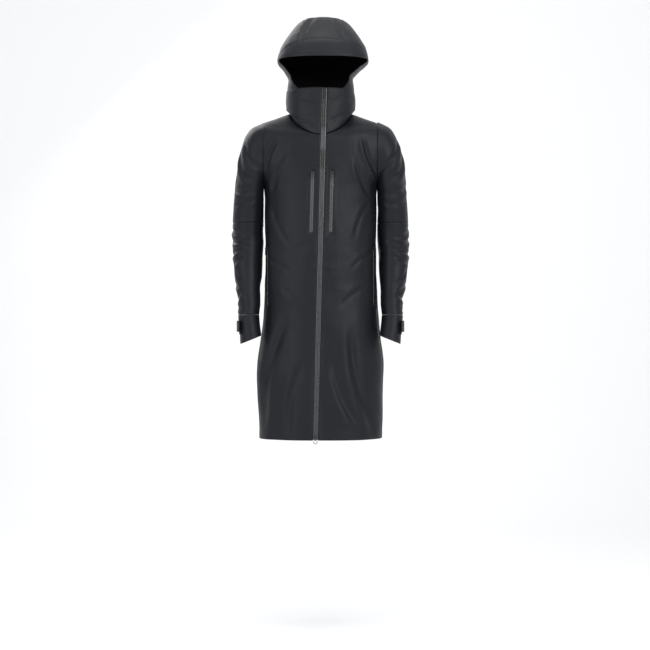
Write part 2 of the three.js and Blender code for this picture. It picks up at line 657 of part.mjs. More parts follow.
// Each row: key, inner x and z, outer x and z, middle y, half-depth. The first rows fan out from the
// underarm, so the sleeve leaves the upright armhole and turns down.
const sleeveRows = [
  [0, ARM_X + 0.4, -UNDERARM, ARM_X + 1.2, -ARM_TOP, -4, 87],
  [1, ARM_X + 0.5, -UNDERARM - 3, SHOULDER_HALF - 31, -51, -4, 87],
  [2, ARM_X + 0.6, -UNDERARM - 6, SHOULDER_HALF - 15, -70, -4, 86],
  [3, ARM_X + 0.8, -UNDERARM - 11, SHOULDER_HALF, -108, -4, 84],
  [4, ARM_X + 1, -UNDERARM - 19, ARM_X + 82, -160, -4, 80],
  [5, ARM_X + 1, -UNDERARM - 31, ARM_X + 88, -214, -2, 75],
  [6, ARM_X + 1, -300, ARM_X + 96, -293, 4, 68],
  [7, ARM_X + 1, ELBOW_Z + ELBOW_HALF, ARM_X + 99, ELBOW_Z + ELBOW_HALF, 9, 64],
  [8, ARM_X + 1.5, ELBOW_Z, ARM_X + 100, ELBOW_Z, 14, 61],
  [9, ARM_X + 4.5, ELBOW_Z - ELBOW_HALF, ARM_X + 99.5, ELBOW_Z - ELBOW_HALF, 10, 59],
  [10, ARM_X + 6, belowElbow(0.209), ARM_X + 94, belowElbow(0.209), -2, 56],
  [11, ARM_X + 10, belowElbow(0.379), ARM_X + 86, belowElbow(0.379), -18, 50],
  [12, ARM_X + 10, belowElbow(0.542), ARM_X + 78, belowElbow(0.542), -36, 44],
  [13, ARM_X + 13, belowElbow(0.671), ARM_X + 79, belowElbow(0.671), -48, 42],
  [14, ARM_X + 6, belowElbow(0.906), ARM_X + 70, belowElbow(1), -70, 40],
];
const SLEEVE_EXPONENT = 2.15;

function sleevePoint(side, angle, key) {
  const [, innerX, innerZ, outerX, outerZ, middleY, depth] = lookUp(sleeveRows, key);
  const half = Math.hypot(outerX - innerX, outerZ - innerZ) / 2;
  const r = roundRadius(angle, half, depth, SLEEVE_EXPONENT);
  const share = (1 + (r * Math.cos(angle)) / half) / 2;
  return new THREE.Vector3(
    side * (innerX + (outerX - innerX) * share),
    middleY - side * r * Math.sin(angle),
    innerZ + (outerZ - innerZ) * share,
  );
}

const sleeveSections = [
  ["upper_sleeve", 0, 7],
  ["elbow_section", 7, 9],
  ["forearm", 9, 13],
  ["cuff_band", 13, 14],
];
// Half the gap at a sleeve seam: a share of the wall, because two walls lean towards each other there.
const SEAM_SHARE = 0.15 / 2.2;
const keyGap = (SEAM_SHARE * WALL) / ELBOW_HALF; // the rows at the seams lie an elbow half or more apart
const TAB = { length: 46, height: 35, thick: 2, middle: SLEEVE_LENGTH - 55, lean: 12, hingeBack: 3 };
const PATCH = { lift: 0.9, thick: 1 };

for (const [name, side] of SIDES) {
  const point = (angle, key) => sleevePoint(side, angle, key);
  for (const [section, first, last] of sleeveSections) {
    const low = first === 0 ? 0 : first + keyGap;
    const high = last === 14 ? 14 : last - keyGap;
    const tube = panel({
      point,
      rows: rowsOf(low, high),
      span: () => [0, 2 * Math.PI],
      columns: 18,
      loop: true,
    });
    add(`${section}_${name}`, tube, "shell");
  }

  // The cuff's loop patch lies on its outer front, and the tab stands off it from a hinge line behind.
  const [patchTop, patchLow] = [TAB.middle - TAB.height / 2, TAB.middle + TAB.height / 2];
  const keyAt = (z) => 13 + (belowElbow(0.671) + z) / (belowElbow(0.671) - belowElbow(1));
  const patch = panel({
    point,
    rows: [keyAt(patchTop + 3), keyAt(patchLow - 3)],
    span: () => (side > 0 ? [-0.3, 0.9] : [-0.9, 0.3]),
    columns: 4,
    from: -PATCH.lift - PATCH.thick,
    to: -PATCH.lift,
  });
  add(`cuff_loop_patch_${name}`, patch, "lining");

  const widest = sleevePoint(side, 0, keyAt(patchTop));
  const [x0, x1] = side > 0 ? [0, TAB.thick] : [-TAB.thick, 0];
  const tab = boxBetween([x0, -TAB.length, -TAB.height / 2], [x1, 0, TAB.height / 2]);
  tab.rotateZ(side * THREE.MathUtils.degToRad(TAB.lean));
  const standOff = side * (PATCH.lift + PATCH.thick + GAP);
  tab.translate(widest.x + standOff, widest.y + TAB.hingeBack, -TAB.middle);
  add(`cuff_tab_${name}`, tab, "shell");
}

function rowsOf(low, high) {
  const keys = [low];
  for (let key = Math.ceil(low); key <= high; key++) if (key > low && key < high) keys.push(key);
  return [...keys, high];
}

// --- inside the collar -------------------------------------------------------------------------------

const LOOP = { half: 27, bow: 14, strap: 2.2, low: -2, high: 6, footY: NECK_BACK - WALL - 1.6 };
const loopShape = new THREE.Shape();
loopShape.moveTo(LOOP.half, LOOP.footY);
loopShape.absellipse(0, LOOP.footY, LOOP.half, LOOP.bow, 0, Math.PI, true);
loopShape.lineTo(LOOP.strap - LOOP.half, LOOP.footY);
loopShape.absellipse(0, LOOP.footY, LOOP.half - LOOP.strap, LOOP.bow - LOOP.strap, Math.PI, 0, false);
const loop = new THREE.ExtrudeGeometry(loopShape, {
  depth: LOOP.high - LOOP.low,
  bevelEnabled: false,
  curveSegments: 12,
});
add("hanger_loop", loop.translate(0, 0, LOOP.low), "cord");

const labelSpan = () => [80, 100].map(THREE.MathUtils.degToRad);
const labelDepth = { from: WALL + GAP, to: WALL + GAP + 0.8 };
add(
  "neck_label",
  panel({ point: collarPoint, rows: [16, 38], span: labelSpan, columns: 2, ...labelDepth }),
  "cord",
);

export default coat;
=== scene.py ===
# %% [markdown]
# A long hooded hardshell coat. The frame holds the pattern pieces as plain solids, with their joints.
# This file makes the cloth, the zips and the light around them, in metres, in the frame's own axes:
# +Z up, the front towards -Y, the wearer's left sleeve on +X, and the origin at the hanger loop.

# %% Load the frame
import json
import math
import bpy
import numpy as np
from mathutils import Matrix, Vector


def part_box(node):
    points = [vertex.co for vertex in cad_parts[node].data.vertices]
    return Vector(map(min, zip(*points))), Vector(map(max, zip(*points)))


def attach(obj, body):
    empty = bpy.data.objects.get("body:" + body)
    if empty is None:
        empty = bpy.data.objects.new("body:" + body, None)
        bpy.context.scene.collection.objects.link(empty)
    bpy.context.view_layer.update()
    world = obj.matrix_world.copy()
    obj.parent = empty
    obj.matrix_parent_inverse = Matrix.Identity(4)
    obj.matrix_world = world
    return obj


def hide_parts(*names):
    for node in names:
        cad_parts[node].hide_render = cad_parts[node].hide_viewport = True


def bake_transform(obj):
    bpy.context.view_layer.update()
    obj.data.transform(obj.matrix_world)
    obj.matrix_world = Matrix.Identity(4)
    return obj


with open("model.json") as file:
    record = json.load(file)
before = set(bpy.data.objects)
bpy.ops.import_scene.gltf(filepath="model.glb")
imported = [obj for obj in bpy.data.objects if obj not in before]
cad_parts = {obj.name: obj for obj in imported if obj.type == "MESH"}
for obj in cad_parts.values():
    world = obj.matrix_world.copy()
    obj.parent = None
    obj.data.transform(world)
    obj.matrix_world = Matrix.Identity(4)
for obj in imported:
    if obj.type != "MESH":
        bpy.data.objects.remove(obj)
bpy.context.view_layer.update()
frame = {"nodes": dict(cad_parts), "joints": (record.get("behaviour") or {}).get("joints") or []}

joints = {joint["name"]: joint for joint in frame["joints"]}

# %% [markdown]
# The camera stands level, well back and at the height of the wearer's hips, as for a full-length
# catalogue picture. A long lens keeps the coat's outline nearly flat. The stage is one pale sweep, floor
# and wall in one curve, so that no horizon line crosses the coat.

# %% Camera and stage
NECK = np.array([0.0, -0.071, -0.002])  # the neck point, where shoulder meets collar
FLOOR_Z = NECK[2] - 1.613

camera_data = bpy.data.cameras.new("camera")
camera_data.sensor_width = 36.0
camera_data.lens = 91.4
camera = bpy.data.objects.new("camera", camera_data)
bpy.context.scene.collection.objects.link(camera)
camera.location = NECK + (0.014, -5.2, -0.668)
camera.rotation_euler = (math.pi / 2, 0, 0)
bpy.context.scene.camera = camera


def principled(name, colour, roughness, **sockets):
    """A material with one Principled shader; the other arguments are its sockets by name."""
    material = bpy.data.materials.new(name)
    material.use_nodes = True
    shader = material.node_tree.nodes["Principled BSDF"]
    shader.inputs["Base Color"].default_value = (*colour, 1)
    shader.inputs["Roughness"].default_value = roughness
    for socket, value in sockets.items():
        shader.inputs[socket.replace("_", " ")].default_value = value
    return material


def sweep_stage():
    """Floor, quarter circle and wall as one strip: a profile in (y, z) carried along x."""
    radius, wall_y, half, front = 1.2, 3.6, 9.0, -9.0
    turn = np.linspace(0, math.pi / 2, 24)
    y = np.concatenate([[front], wall_y - radius + radius * np.sin(turn), [wall_y]])
    z = np.concatenate([[0], radius - radius * np.cos(turn), [6.0]]) + FLOOR_Z
    points = np.stack([np.stack([np.full_like(y, x), y, z], 1) for x in (-half, half)])
    count = len(y)
    faces = [(i, count + i, count + i + 1, i + 1) for i in range(count - 1)]
    mesh = bpy.data.meshes.new("stage")
    mesh.from_pydata(points.reshape(-1, 3).tolist(), [], faces)
    mesh.shade_smooth()
    stage = bpy.data.objects.new("stage", mesh)
    bpy.context.scene.collection.objects.link(stage)
    mesh.materials.append(principled("stage", (0.93, 0.93, 0.935), 0.9))
    return stage


sweep_stage()


def area_light(name, place, aim, size, watts):
    data = bpy.data.lights.new(name, "AREA")
    data.shape = "RECTANGLE"
    data.size, data.size_y = size
    data.energy = watts
    light = bpy.data.objects.new(name, data)
    bpy.context.scene.collection.objects.link(light)
    light.location = place
    direction = np.array(aim) - np.array(place)
    yaw = math.atan2(direction[0], -direction[1])
    pitch = math.atan2(math.hypot(direction[0], direction[1]), -direction[2])
    light.rotation_euler = (pitch, 0, yaw + math.pi)
    return light


area_light("key", (2.6, -4.2, 1.3), (0, 0, -0.4), (1.6, 2.2), 104)
area_light("fill", (-3.0, -3.9, 0.7), (0, 0, -0.4), (1.8, 2.4), 56)
area_light("top", (0.0, -0.6, 3.0), (0, 0, 0), (2.4, 2.0), 46)
area_light("back", (-1.6, 2.6, 1.6), (0, 0, -0.2), (1.6, 2.0), 30)
world = bpy.data.worlds.new("studio")
world.use_nodes = True
world.node_tree.nodes["Background"].inputs["Color"].default_value = (0.97, 0.98, 1.0, 1)
world.node_tree.nodes["Background"].inputs["Strength"].default_value = 0.64
bpy.context.scene.world = world
bpy.context.scene.view_settings.view_transform = "Standard"
print("camera, stage and four lights")

# %% [markdown]
# Every cloth piece here is a grid: one number runs round the body and one runs up it, and a formula
# turns the pair into a place. Only a few rows of the shape are given, and smooth curves run between
# them. A curve that never overshoots its rows is used, because a coat's outline must not ripple.

# %% Curves through rows, and grids into meshes
def through_rows(keys, rows, at):
    """Cubic pieces through rows[i] at keys[i]; each slope is the harmonic mean of its two neighbours'."""
    keys, rows, at = np.asarray(keys, float), np.asarray(rows, float), np.asarray(at, float)
    steps = np.diff(keys)[:, None]
    rises = np.diff(rows, axis=0) / steps
    before, after = rises[:-1], rises[1:]
    same_way = before * after > 0
    sums = np.where(same_way, before + after, 1)
    inner = np.where(same_way, 2 * before * after / sums, 0)
    slopes = np.concatenate([rises[:1], inner, rises[-1:]])
    i = np.clip(np.searchsorted(keys, at, side="right") - 1, 0, len(keys) - 2)
    h = steps[i, 0]
    t = np.clip((at - keys[i]) / h, 0, 1)
    shape = (..., None)
    t1, h1 = t[shape], h[shape]
    return (
        rows[i] * (1 + 2 * t1) * (1 - t1) ** 2
        + rows[i + 1] * t1**2 * (3 - 2 * t1)
        + h1 * t1 * (1 - t1) * (slopes[i] * (1 - t1) - slopes[i + 1] * t1)
    )


def smooth_step(value, low, high):
    """0 below low, 1 above high, and an S-curve between."""
    t = np.clip((value - low) / (high - low), 0, 1)
    return t * t * (3 - 2 * t)


def normals_of(points, loop=False):
    """Unit normals of a grid: the cross product of its two directions' differences."""
    if loop:
        wrapped = np.concatenate([points[:, -1:], points, points[:, :1]], axis=1)
        along = (wrapped[:, 2:] - wrapped[:, :-2]) / 2
    else:
        along = np.gradient(points, axis=1)
    up = np.gradient(points, axis=0)
    normals = np.cross(along, up)
    return normals / np.maximum(np.linalg.norm(normals, axis=2, keepdims=True), 1e-12)


def lengths_of(points):
    """Distances run along each grid direction, in metres, for a cloth's UV map."""
    along = np.linalg.norm(np.diff(points, axis=1), axis=2)
    up = np.linalg.norm(np.diff(points, axis=0), axis=2)
    u = np.pad(np.cumsum(along, axis=1), ((0, 0), (1, 0)))
    v = np.pad(np.cumsum(up, axis=0), ((1, 0), (0, 0)))
    return u - u.mean(axis=1, keepdims=True), v


def grid_mesh(name, points, loop=False, keep=None, materials=(), values=None):
    """A mesh from a grid of points in metres from the neck point: rows x columns x 3.

    keep is a mask of the faces to make; values holds named numbers per point for the material."""
    rows, columns = points.shape[:2]
    u, v = lengths_of(points)
    if loop:
        u_end = u[:, -1] + np.linalg.norm(points[:, 0] - points[:, -1], axis=1)
        u = np.concatenate([u, u_end[:, None]], axis=1)
        v = np.concatenate([v, v[:, :1]], axis=1)
    across = columns if loop else columns - 1
    r, c = np.meshgrid(np.arange(rows - 1), np.arange(across), indexing="ij")
    if keep is not None:
        r, c = r[keep], c[keep]
    r, c = r.ravel(), c.ravel()
    following = (c + 1) % columns
    corners = np.stack([r * columns + c, r * columns + following, (r + 1) * columns + following,
                        (r + 1) * columns + c], 1)
    uv_at = np.stack([r, r, r + 1, r + 1], 1), np.stack([c, c + 1, c + 1, c], 1)
    used, faces = np.unique(corners, return_inverse=True)
    faces = faces.reshape(-1, 4)
    mesh = bpy.data.meshes.new(name)
    places = points.reshape(-1, 3)[used] + NECK
    mesh.vertices.add(len(used))
    mesh.vertices.foreach_set("co", places.ravel())
    mesh.loops.add(faces.size)
    mesh.loops.foreach_set("vertex_index", faces.ravel().astype(np.int32))
    mesh.polygons.add(len(faces))
    mesh.polygons.foreach_set("loop_start", np.arange(0, faces.size, 4, dtype=np.int32))
    mesh.update(calc_edges=True)
    layer = mesh.uv_layers.new(name="cloth")
    layer.data.foreach_set("uv", np.stack([u[uv_at], v[uv_at]], -1).ravel())
    for key, numbers in (values or {}).items():
        attribute = mesh.attributes.new(key, "FLOAT", "POINT")
        attribute.data.foreach_set("value", np.broadcast_to(numbers, (rows, columns)).ravel()[used])
    mesh.shade_smooth()
    for material in materials:
        mesh.materials.append(material)
    piece = bpy.data.objects.new(name, mesh)
    bpy.context.scene.collection.objects.link(piece)
    return piece


def thicken(piece, wall, inside=True):
    """Gives a sheet its thickness inwards; the inner faces take the second material."""
    solid = piece.modifiers.new("wall", "SOLIDIFY")
    solid.thickness = wall
    solid.offset = -1
    solid.use_quality_normals = True
    if inside and len(piece.data.materials) > 1:
        solid.material_offset = 1
    return piece


print("helpers ready")

# %% [markdown]
# The shell is a three-layer laminate: a matt plain-woven face, so fine that only its bloom shows from
# afar. Its colour is never quite even, and it polishes a little where it is handled. The weave, the
# drift of colour and the wear along edges are shader groups, each built once, so that every cloth of
# the coat shares them with values of its own.
# The tint group's wear input also carries the zip film's painted highlight and painted shade.

# %% Shader groups
def shader_group(name, inputs, outputs):
    """An empty node group with float or colour sockets, and its two end nodes."""
    group = bpy.data.node_groups.new(name, "ShaderNodeTree")
    for socket, (kind, value) in inputs.items():
        made = group.interface.new_socket(socket, in_out="INPUT", socket_type=kind)
        made.default_value = value
    for socket, kind in outputs.items():
        group.interface.new_socket(socket, in_out="OUTPUT", socket_type=kind)
    return group, group.nodes.new("NodeGroupInput"), group.nodes.new("NodeGroupOutput")


def math_node(nodes, links, operation, first, second=None, clamp=False):
    """One Math node; each operand is a number or a socket."""
    node = nodes.new("ShaderNodeMath")
    node.operation = operation
    node.use_clamp = clamp
    for i, operand in enumerate([first, second]):
        if operand is None:
            continue
        if isinstance(operand, (int, float)):
            node.inputs[i].default_value = operand
        else:
            links.new(operand, node.inputs[i])
    return node.outputs[0]


FLOAT, COLOUR = "NodeSocketFloat", "NodeSocketColor"


def weave_group():
    """Height of a plain weave: sin(u) * sin(v) over the threads, plus slubs from a long thin noise."""
    group, start, end = shader_group(
        "weave", {"Threads per metre": (FLOAT, 1600.0), "Slub": (FLOAT, 0.4)}, {"Height": FLOAT})
    nodes, links = group.nodes, group.links
    uv = nodes.new("ShaderNodeUVMap")
    uv.uv_map = "cloth"
    split = nodes.new("ShaderNodeSeparateXYZ")
    links.new(uv.outputs[0], split.inputs[0])
    turns = math_node(nodes, links, "MULTIPLY", start.outputs["Threads per metre"], math.pi)
    waves = []
    for axis in (0, 1):
        angle = math_node(nodes, links, "MULTIPLY", split.outputs[axis], turns)
        waves.append(math_node(nodes, links, "SINE", angle))
    threads = math_node(nodes, links, "MULTIPLY", waves[0], waves[1])
    slub = nodes.new("ShaderNodeTexNoise")
    slub.inputs["Scale"].default_value = 260.0
    slub.inputs["Detail"].default_value = 2.0
    links.new(uv.outputs[0], slub.inputs["Vector"])
    thick = math_node(nodes, links, "MULTIPLY", slub.outputs["Fac"], start.outputs["Slub"])
    links.new(math_node(nodes, links, "ADD", threads, thick), end.inputs["Height"])
    return group


def drift_group():
    """Slow and quick noise in the coat's own space, mixed to one number about 0.5."""
    group, start, end = shader_group(
        "drift", {"Slow": (FLOAT, 5.0), "Quick": (FLOAT, 45.0)}, {"Value": FLOAT})
    nodes, links = group.nodes, group.links
    place = nodes.new("ShaderNodeTexCoord")
    found = []
    for speed in ("Slow", "Quick"):
        noise = nodes.new("ShaderNodeTexNoise")
        noise.inputs["Detail"].default_value = 3.0
        links.new(place.outputs["Object"], noise.inputs["Vector"])
        links.new(start.outputs[speed], noise.inputs["Scale"])
        found.append(noise.outputs["Fac"])
    slow = math_node(nodes, links, "MULTIPLY", found[0], 0.65)
    quick = math_node(nodes, links, "MULTIPLY", found[1], 0.35)
    links.new(math_node(nodes, links, "ADD", slow, quick), end.inputs["Value"])
    return group


def tint_group():
    """Colour times (1 - spread + 2 * spread * drift + 0.55 * the wear input).

    Wear lifts cloth edges towards pale; on the zip film the same input is a painted highlight where
    positive and painted shade where negative.
    """
    group, start, end = shader_group(
        "tint",
        {"Colour": (COLOUR, (0.03, 0.03, 0.03, 1)), "Drift": (FLOAT, 0.5), "Spread": (FLOAT, 0.12),
         "Wear_and_painted_light": (FLOAT, 0.0)},
        {"Colour": COLOUR})
    nodes, links = group.nodes, group.links
    twice = math_node(nodes, links, "MULTIPLY", start.outputs["Spread"], 2.0)
    share = math_node(nodes, links, "MULTIPLY", twice, start.outputs["Drift"])
    low = math_node(nodes, links, "SUBTRACT", 1.0, start.outputs["Spread"])
    gain = math_node(nodes, links, "ADD", low, share)
    edge_tone = math_node(nodes, links, "MULTIPLY", start.outputs["Wear_and_painted_light"], 0.55)
    gain = math_node(nodes, links, "ADD", gain, edge_tone)
    scaled = nodes.new("ShaderNodeVectorMath")
    scaled.operation = "SCALE"
    links.new(start.outputs["Colour"], scaled.inputs[0])
    links.new(gain, scaled.inputs["Scale"])
    links.new(scaled.outputs[0], end.inputs["Colour"])
    return group


weave, drift, tint = weave_group(), drift_group(), tint_group()


def cloth(name, colour, roughness, threads=1600.0, depth=0.00012, spread=0.12, **sockets):
    """A cloth: tinted colour, weave as bump, and an 'edge' number per point: wear along its edges, and on the
    storm flap a faint painted highlight from the zip's strip.
    """
    material = principled(name, colour, roughness, **sockets)
    nodes, links = material.node_tree.nodes, material.node_tree.links
    shader = nodes["Principled BSDF"]

    def placed(group, **values):
        node = nodes.new("ShaderNodeGroup")
        node.node_tree = group
        for socket, value in values.items():
            node.inputs[socket.replace("_", " ")].default_value = value
        return node

    wandering = placed(drift)
    edge_tone = nodes.new("ShaderNodeAttribute")
    edge_tone.attribute_name = "edge"
    shade = placed(tint, Colour=(*colour, 1), Spread=spread)
    links.new(wandering.outputs["Value"], shade.inputs["Drift"])
    links.new(edge_tone.outputs["Fac"], shade.inputs["Wear_and_painted_light"])
    links.new(shade.outputs["Colour"], shader.inputs["Base Color"])
    swing = math_node(nodes, links, "MULTIPLY", wandering.outputs["Value"], 0.16)
    links.new(math_node(nodes, links, "ADD", swing, roughness - 0.08), shader.inputs["Roughness"])
    threads_node = placed(weave, Threads_per_metre=threads)
    bump = nodes.new("ShaderNodeBump")
    bump.inputs["Strength"].default_value = 0.35
    bump.inputs["Distance"].default_value = depth
    links.new(threads_node.outputs["Height"], bump.inputs["Height"])
    links.new(bump.outputs["Normal"], shader.inputs["Normal"])
    return material


shell_cloth = cloth("shell_cloth", (0.0054, 0.0062, 0.0094), 0.45, Specular_IOR_Level=0.24,
                    Sheen_Weight=0.012, Sheen_Roughness=0.4)
hood_cloth = cloth("hood_cloth", (0.0076, 0.0084, 0.0116), 0.48, Specular_IOR_Level=0.26,
                   Sheen_Weight=0.02, Sheen_Roughness=0.4)
lining_cloth = cloth("lining_cloth", (0.0045, 0.0046, 0.0052), 0.85, threads=1100.0,
                     Specular_IOR_Level=0.15)
pile_cloth = cloth("pile_cloth", (0.0050, 0.0050, 0.0056), 0.95, threads=700.0, depth=0.0006,
                   Specular_IOR_Level=0.15)
print("cloths", [m.name for m in (shell_cloth, hood_cloth, lining_cloth, pile_cloth)])

# %% [markdown]
# The body is a rounded tube that hangs from the shoulders. Its cross-section lies between an ellipse
# and a rectangle. Each row gives the tube's half-width, how high the row lies at the side, the front
# and the back, and how deep the back is; the front edge itself is one straight line, because a long
# zip won't bend.

# %% The shape of the body
MM = 0.001
FRONT_AT_NECK, FRONT_SLOPE = -111.2, 0.0384
SQUARENESS = 2.4
ARM_X = 178.0
UNDERARM = -235.0
BODY_ROWS = [
    (-1022, 191, -1022, -1022, -1022, 130),
    (-806, 197, -806, -806, -806, 118),
    (-699, 186, -699, -699, -699, 108),
    (-600, 178, -600, -600, -600, 100),
    (-500, 175, -500, -500, -500, 96),
    (-400, 173, -400, -400, -400, 97),
    (-300, 171, -300, -300, -300, 102),
    (-235, 178, -235, -235, -235, 105),
    (-200, 200, -200, -200, -200, 106),
    (-150, 236, -150, -158, -150, 107),
    (-108, 248, -108, -138, -118, 107),
    (-70, 233, -70, -122, -88, 104),
    (-51, 217, -51, -112, -68, 101),
    (-35, 183, -35, -102, -48, 96),
    (-20, 141, -20, -92, -28, 89),
    (-3, 96, -3, -80, -8, 80),
]
COLLAR_ROWS = [
    (0, 96, -2.4, -79.4, -7.4, 80),
    (13, 109, 10, -40, 8, 82),
    (41, 109, 38, 15, 35, 86),
    (67, 106, 64, 67, 64, 89),
]


def front_y(z):
    return FRONT_AT_NECK + FRONT_SLOPE * z


def zip_x(z):
    """The closed front edge leans: it stands this far to the left of the middle at height z, in mm."""
    return 10.9 + 24 / 942 * z


def radius_of(angle, half, depth, power):
    """Radius of a rounded rectangle: (|cos/half|^n + |sin/depth|^n)^(-1/n)."""
    return (np.abs(np.cos(angle) / half) ** power + np.abs(np.sin(angle) / depth) ** power) ** (-1 / power)


def row_values(rows, key):
    table = np.array(rows, float)
    return np.moveaxis(through_rows(table[:, 0], table[:, 1:], key), -1, 0)


def ring(rows, angle, key):
    """The body or collar surface, in mm: radius_of at the angle, with the row tipped by sin squared."""
    half, side_z, front_z, back_z, back_y = row_values(rows, key)
    lean = np.sin(angle)
    z = side_z + (np.where(lean < 0, front_z, back_z) - side_z) * lean**2
    depth = np.where(lean < 0, -front_y(front_z), back_y)
    r = radius_of(angle, half, depth, SQUARENESS)
    return np.stack([r * np.cos(angle), r * np.sin(angle), z], -1)


def angle_at_x(rows, key, x, back=False):
    """The angle at which a row's front (or back) passes a given x."""
    half, _, front_z, _, back_y = row_values(rows, key)
    depth = back_y if back else -front_y(front_z)
    y = depth * (1 - np.minimum(np.abs(x / half), 1) ** SQUARENESS) ** (1 / SQUARENESS)
    return np.arctan2(y if back else -y, x)


FRONT_SEAM, BACK_SEAM = math.radians(-11), math.radians(32)


def side_limit(key, seam, back=False):
    """Where a front or back ends at the side: the seam, fading to the underarm, then the armhole."""
    fading = seam * (1 - smooth_step(key, UNDERARM - 90, UNDERARM))
    half = row_values(BODY_ROWS, key)[0]
    armhole = angle_at_x(BODY_ROWS, key, np.full_like(key, ARM_X), back)
    return np.where((key > UNDERARM) & (half > ARM_X), armhole, np.where(key > UNDERARM, 0, fading))


print("body rows", len(BODY_ROWS), "collar rows", len(COLLAR_ROWS))

# %% [markdown]
# Laminate is stiff for its weight: it doesn't flow like silk, it buckles. So a worn shell shows three
# things at once. Long soft flutes fall from where the cloth is held, a few sharp creases run between
# points that pull, and a faint crumple covers all of it. Each is a number added along the surface's
# normal, so that the same folds can be laid over any piece and run on across its seams.

# %% Folds as numbers
def lattice_noise(points, size, seed):
    """Random numbers on a cubic lattice of this size, joined by S-curves: about -1 to 1."""
    count = 24
    lattice = np.random.default_rng(seed).uniform(-1, 1, (count, count, count))
    place = points / size + 1000.0
    cell = np.floor(place).astype(int)
    t = place - cell
    t = t * t * (3 - 2 * t)
    total = 0.0
    for corner in np.ndindex(2, 2, 2):
        share = np.prod(np.where(corner, t, 1 - t), axis=-1)
        i, j, k = (np.moveaxis(cell, -1, 0) + np.array(corner).reshape(3, *([1] * (cell.ndim - 1)))) % count
        total = total + share * lattice[i, j, k]
    return total


def crumple(points, size, seed, stretch=(1, 1, 1)):
    """Creased noise: 1 - |noise| is a ridge wherever the noise crosses zero. Its mean is taken off."""
    ridges = 1 - np.abs(lattice_noise(points / np.array(stretch), size, seed)) ** 0.7
    finer = 1 - np.abs(lattice_noise(points / np.array(stretch), size * 0.47, seed + 1)) ** 0.7
    return ridges + 0.4 * finer - 0.72


CREASE_NARROWER, CREASE_DEEPER = 0.8, 1.5  # applied to every width and depth in the lists of creases


def crease(flat, start, end, width, depth, lip=0.6):
    """A fold from start to end: a valley exp(-(d/w)^2) with a rounded lip beside it, faded at its ends.

    flat holds two of the three coordinates; start and end are points in that plane, in mm."""
    start, end = np.array(start, float), np.array(end, float)
    run = end - start
    length = np.linalg.norm(run)
    along = ((flat - start) @ run) / length**2
    side = ((flat - start) @ np.array([run[1], -run[0]])) / length
    width, depth = CREASE_NARROWER * width, CREASE_DEEPER * depth
    side = side - 0.06 * length * np.sin(math.pi * np.clip(along, 0, 1))
    fade = smooth_step(along, -0.12, 0.25) * (1 - smooth_step(along, 0.72, 1.12))
    valley = np.exp(-((side / width) ** 2))
    shoulder = np.exp(-(((side - 1.7 * width) / (1.3 * width)) ** 2))
    return fade * depth * (lip * shoulder - valley)


def flutes(angle, z, top, count, phase, depth):
    """Skirt flutes: a cosine round the coat, sharpened, that grows from nothing at top to the hem."""
    wave = np.cos(count * angle + phase + 0.35 * np.sin(3 * angle + phase))
    sharpened = wave - 0.25 * (2 * wave**2 - 1)
    return depth * sharpened * (1 - smooth_step(z, -1040, top))


FRONT_CREASES = [
    ((-112, -660), (-176, -1000), 17, 5.0),
    ((-60, -790), (-96, -1010), 15, 2.6),
    ((94, -680), (170, -1000), 17, 4.6),
    ((40, -800), (118, -985), 15, 3.6),
    ((-150, -300), (-96, -420), 9, 1.9),
    ((150, -290), (104, -400), 9, 2.0),
    ((-165, -452), (-92, -500), 8, 1.6),
    ((164, -440), (96, -492), 8, 1.7),
    ((-120, -548), (-54, -600), 10, 1.3),
    ((128, -556), (62, -612), 10, 1.4),
    ((-132, -92), (-172, -196), 8, 3.4),
    ((134, -92), (174, -200), 8, 3.4),
    ((-104, -150), (-150, -262), 9, 2.0),
    ((108, -156), (152, -270), 9, 2.0),
    ((-58, -96), (-92, -128), 6, 0.9),
]
BACK_CREASES = [
    ((-150, -262), (-70, -350), 10, 2.2),
    ((150, -258), (64, -352), 10, 2.3),
    ((-146, -395), (-50, -432), 9, 1.8),
    ((148, -404), (52, -446), 9, 1.8),
    ((-96, -600), (-128, -1000), 20, 5.0),
    ((92, -620), (124, -1000), 20, 5.0),
    ((6, -700), (-14, -1005), 18, 3.4),
    ((-150, -105), (-118, -205), 8, 2.0),
    ((150, -105), (118, -205), 8, 2.0),
]


def body_folds(points, angle):
    """All the folds of the body, in mm along its normal, for a grid of places in mm."""
    x, y, z = points[..., 0], points[..., 1], points[..., 2]
    flat = np.stack([x, z], -1)
    total = 1.15 * crumple(points, 74, 11, (1, 1, 1.7))
    total = total + 2.3 * lattice_noise(points, 96, 5) + 0.5 * lattice_noise(points, 31, 6)
    waist = np.exp(-(((z + 455) / 95) ** 2))
    total = total + 1.5 * waist * crumple(points, 42, 21, (2.2, 2.2, 0.8))
    underarm = np.exp(-(((np.abs(x) - 172) / 34) ** 2 + ((z + 225) / 70) ** 2))
    total = total + 2.0 * underarm * crumple(points, 34, 31, (0.8, 0.8, 1.8))
    total = total + flutes(angle, z, -560, 7, 0.9, 2.6)
    fuller = np.exp(-(((z + 318) / 72) ** 2)) * smooth_step(np.abs(x), 140, 170)
    total = total + 4.6 * fuller
    front = 1 - smooth_step(y, -45, 10)
    back = smooth_step(y, 0, 50)
    for start, end, width, depth in FRONT_CREASES:
        total = total + front * crease(flat, start, end, width, depth)
    for start, end, width, depth in BACK_CREASES:
        total = total + back * crease(flat, start, end, width, depth)
    return total * (1 - 0.75 * smooth_step(z, -70, -20))


print("creases", len(FRONT_CREASES) + len(BACK_CREASES))

# %% [markdown]
# A zip is the one straight thing on a coat. The frame says where each lies: the middle of its tape is
# the middle of the line, and its slider's joint says which way the line runs. The cloth is pressed in
# behind it, so that the strips lie flush in a channel, as they do when they are laminated in.

# %% Where the zips run
def middle_of(*nodes):
    corners = np.array([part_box(node) for node in nodes])
    low, high = corners[:, 0].min(axis=0), corners[:, 1].max(axis=0)
    return (low + high) / 2, high - low


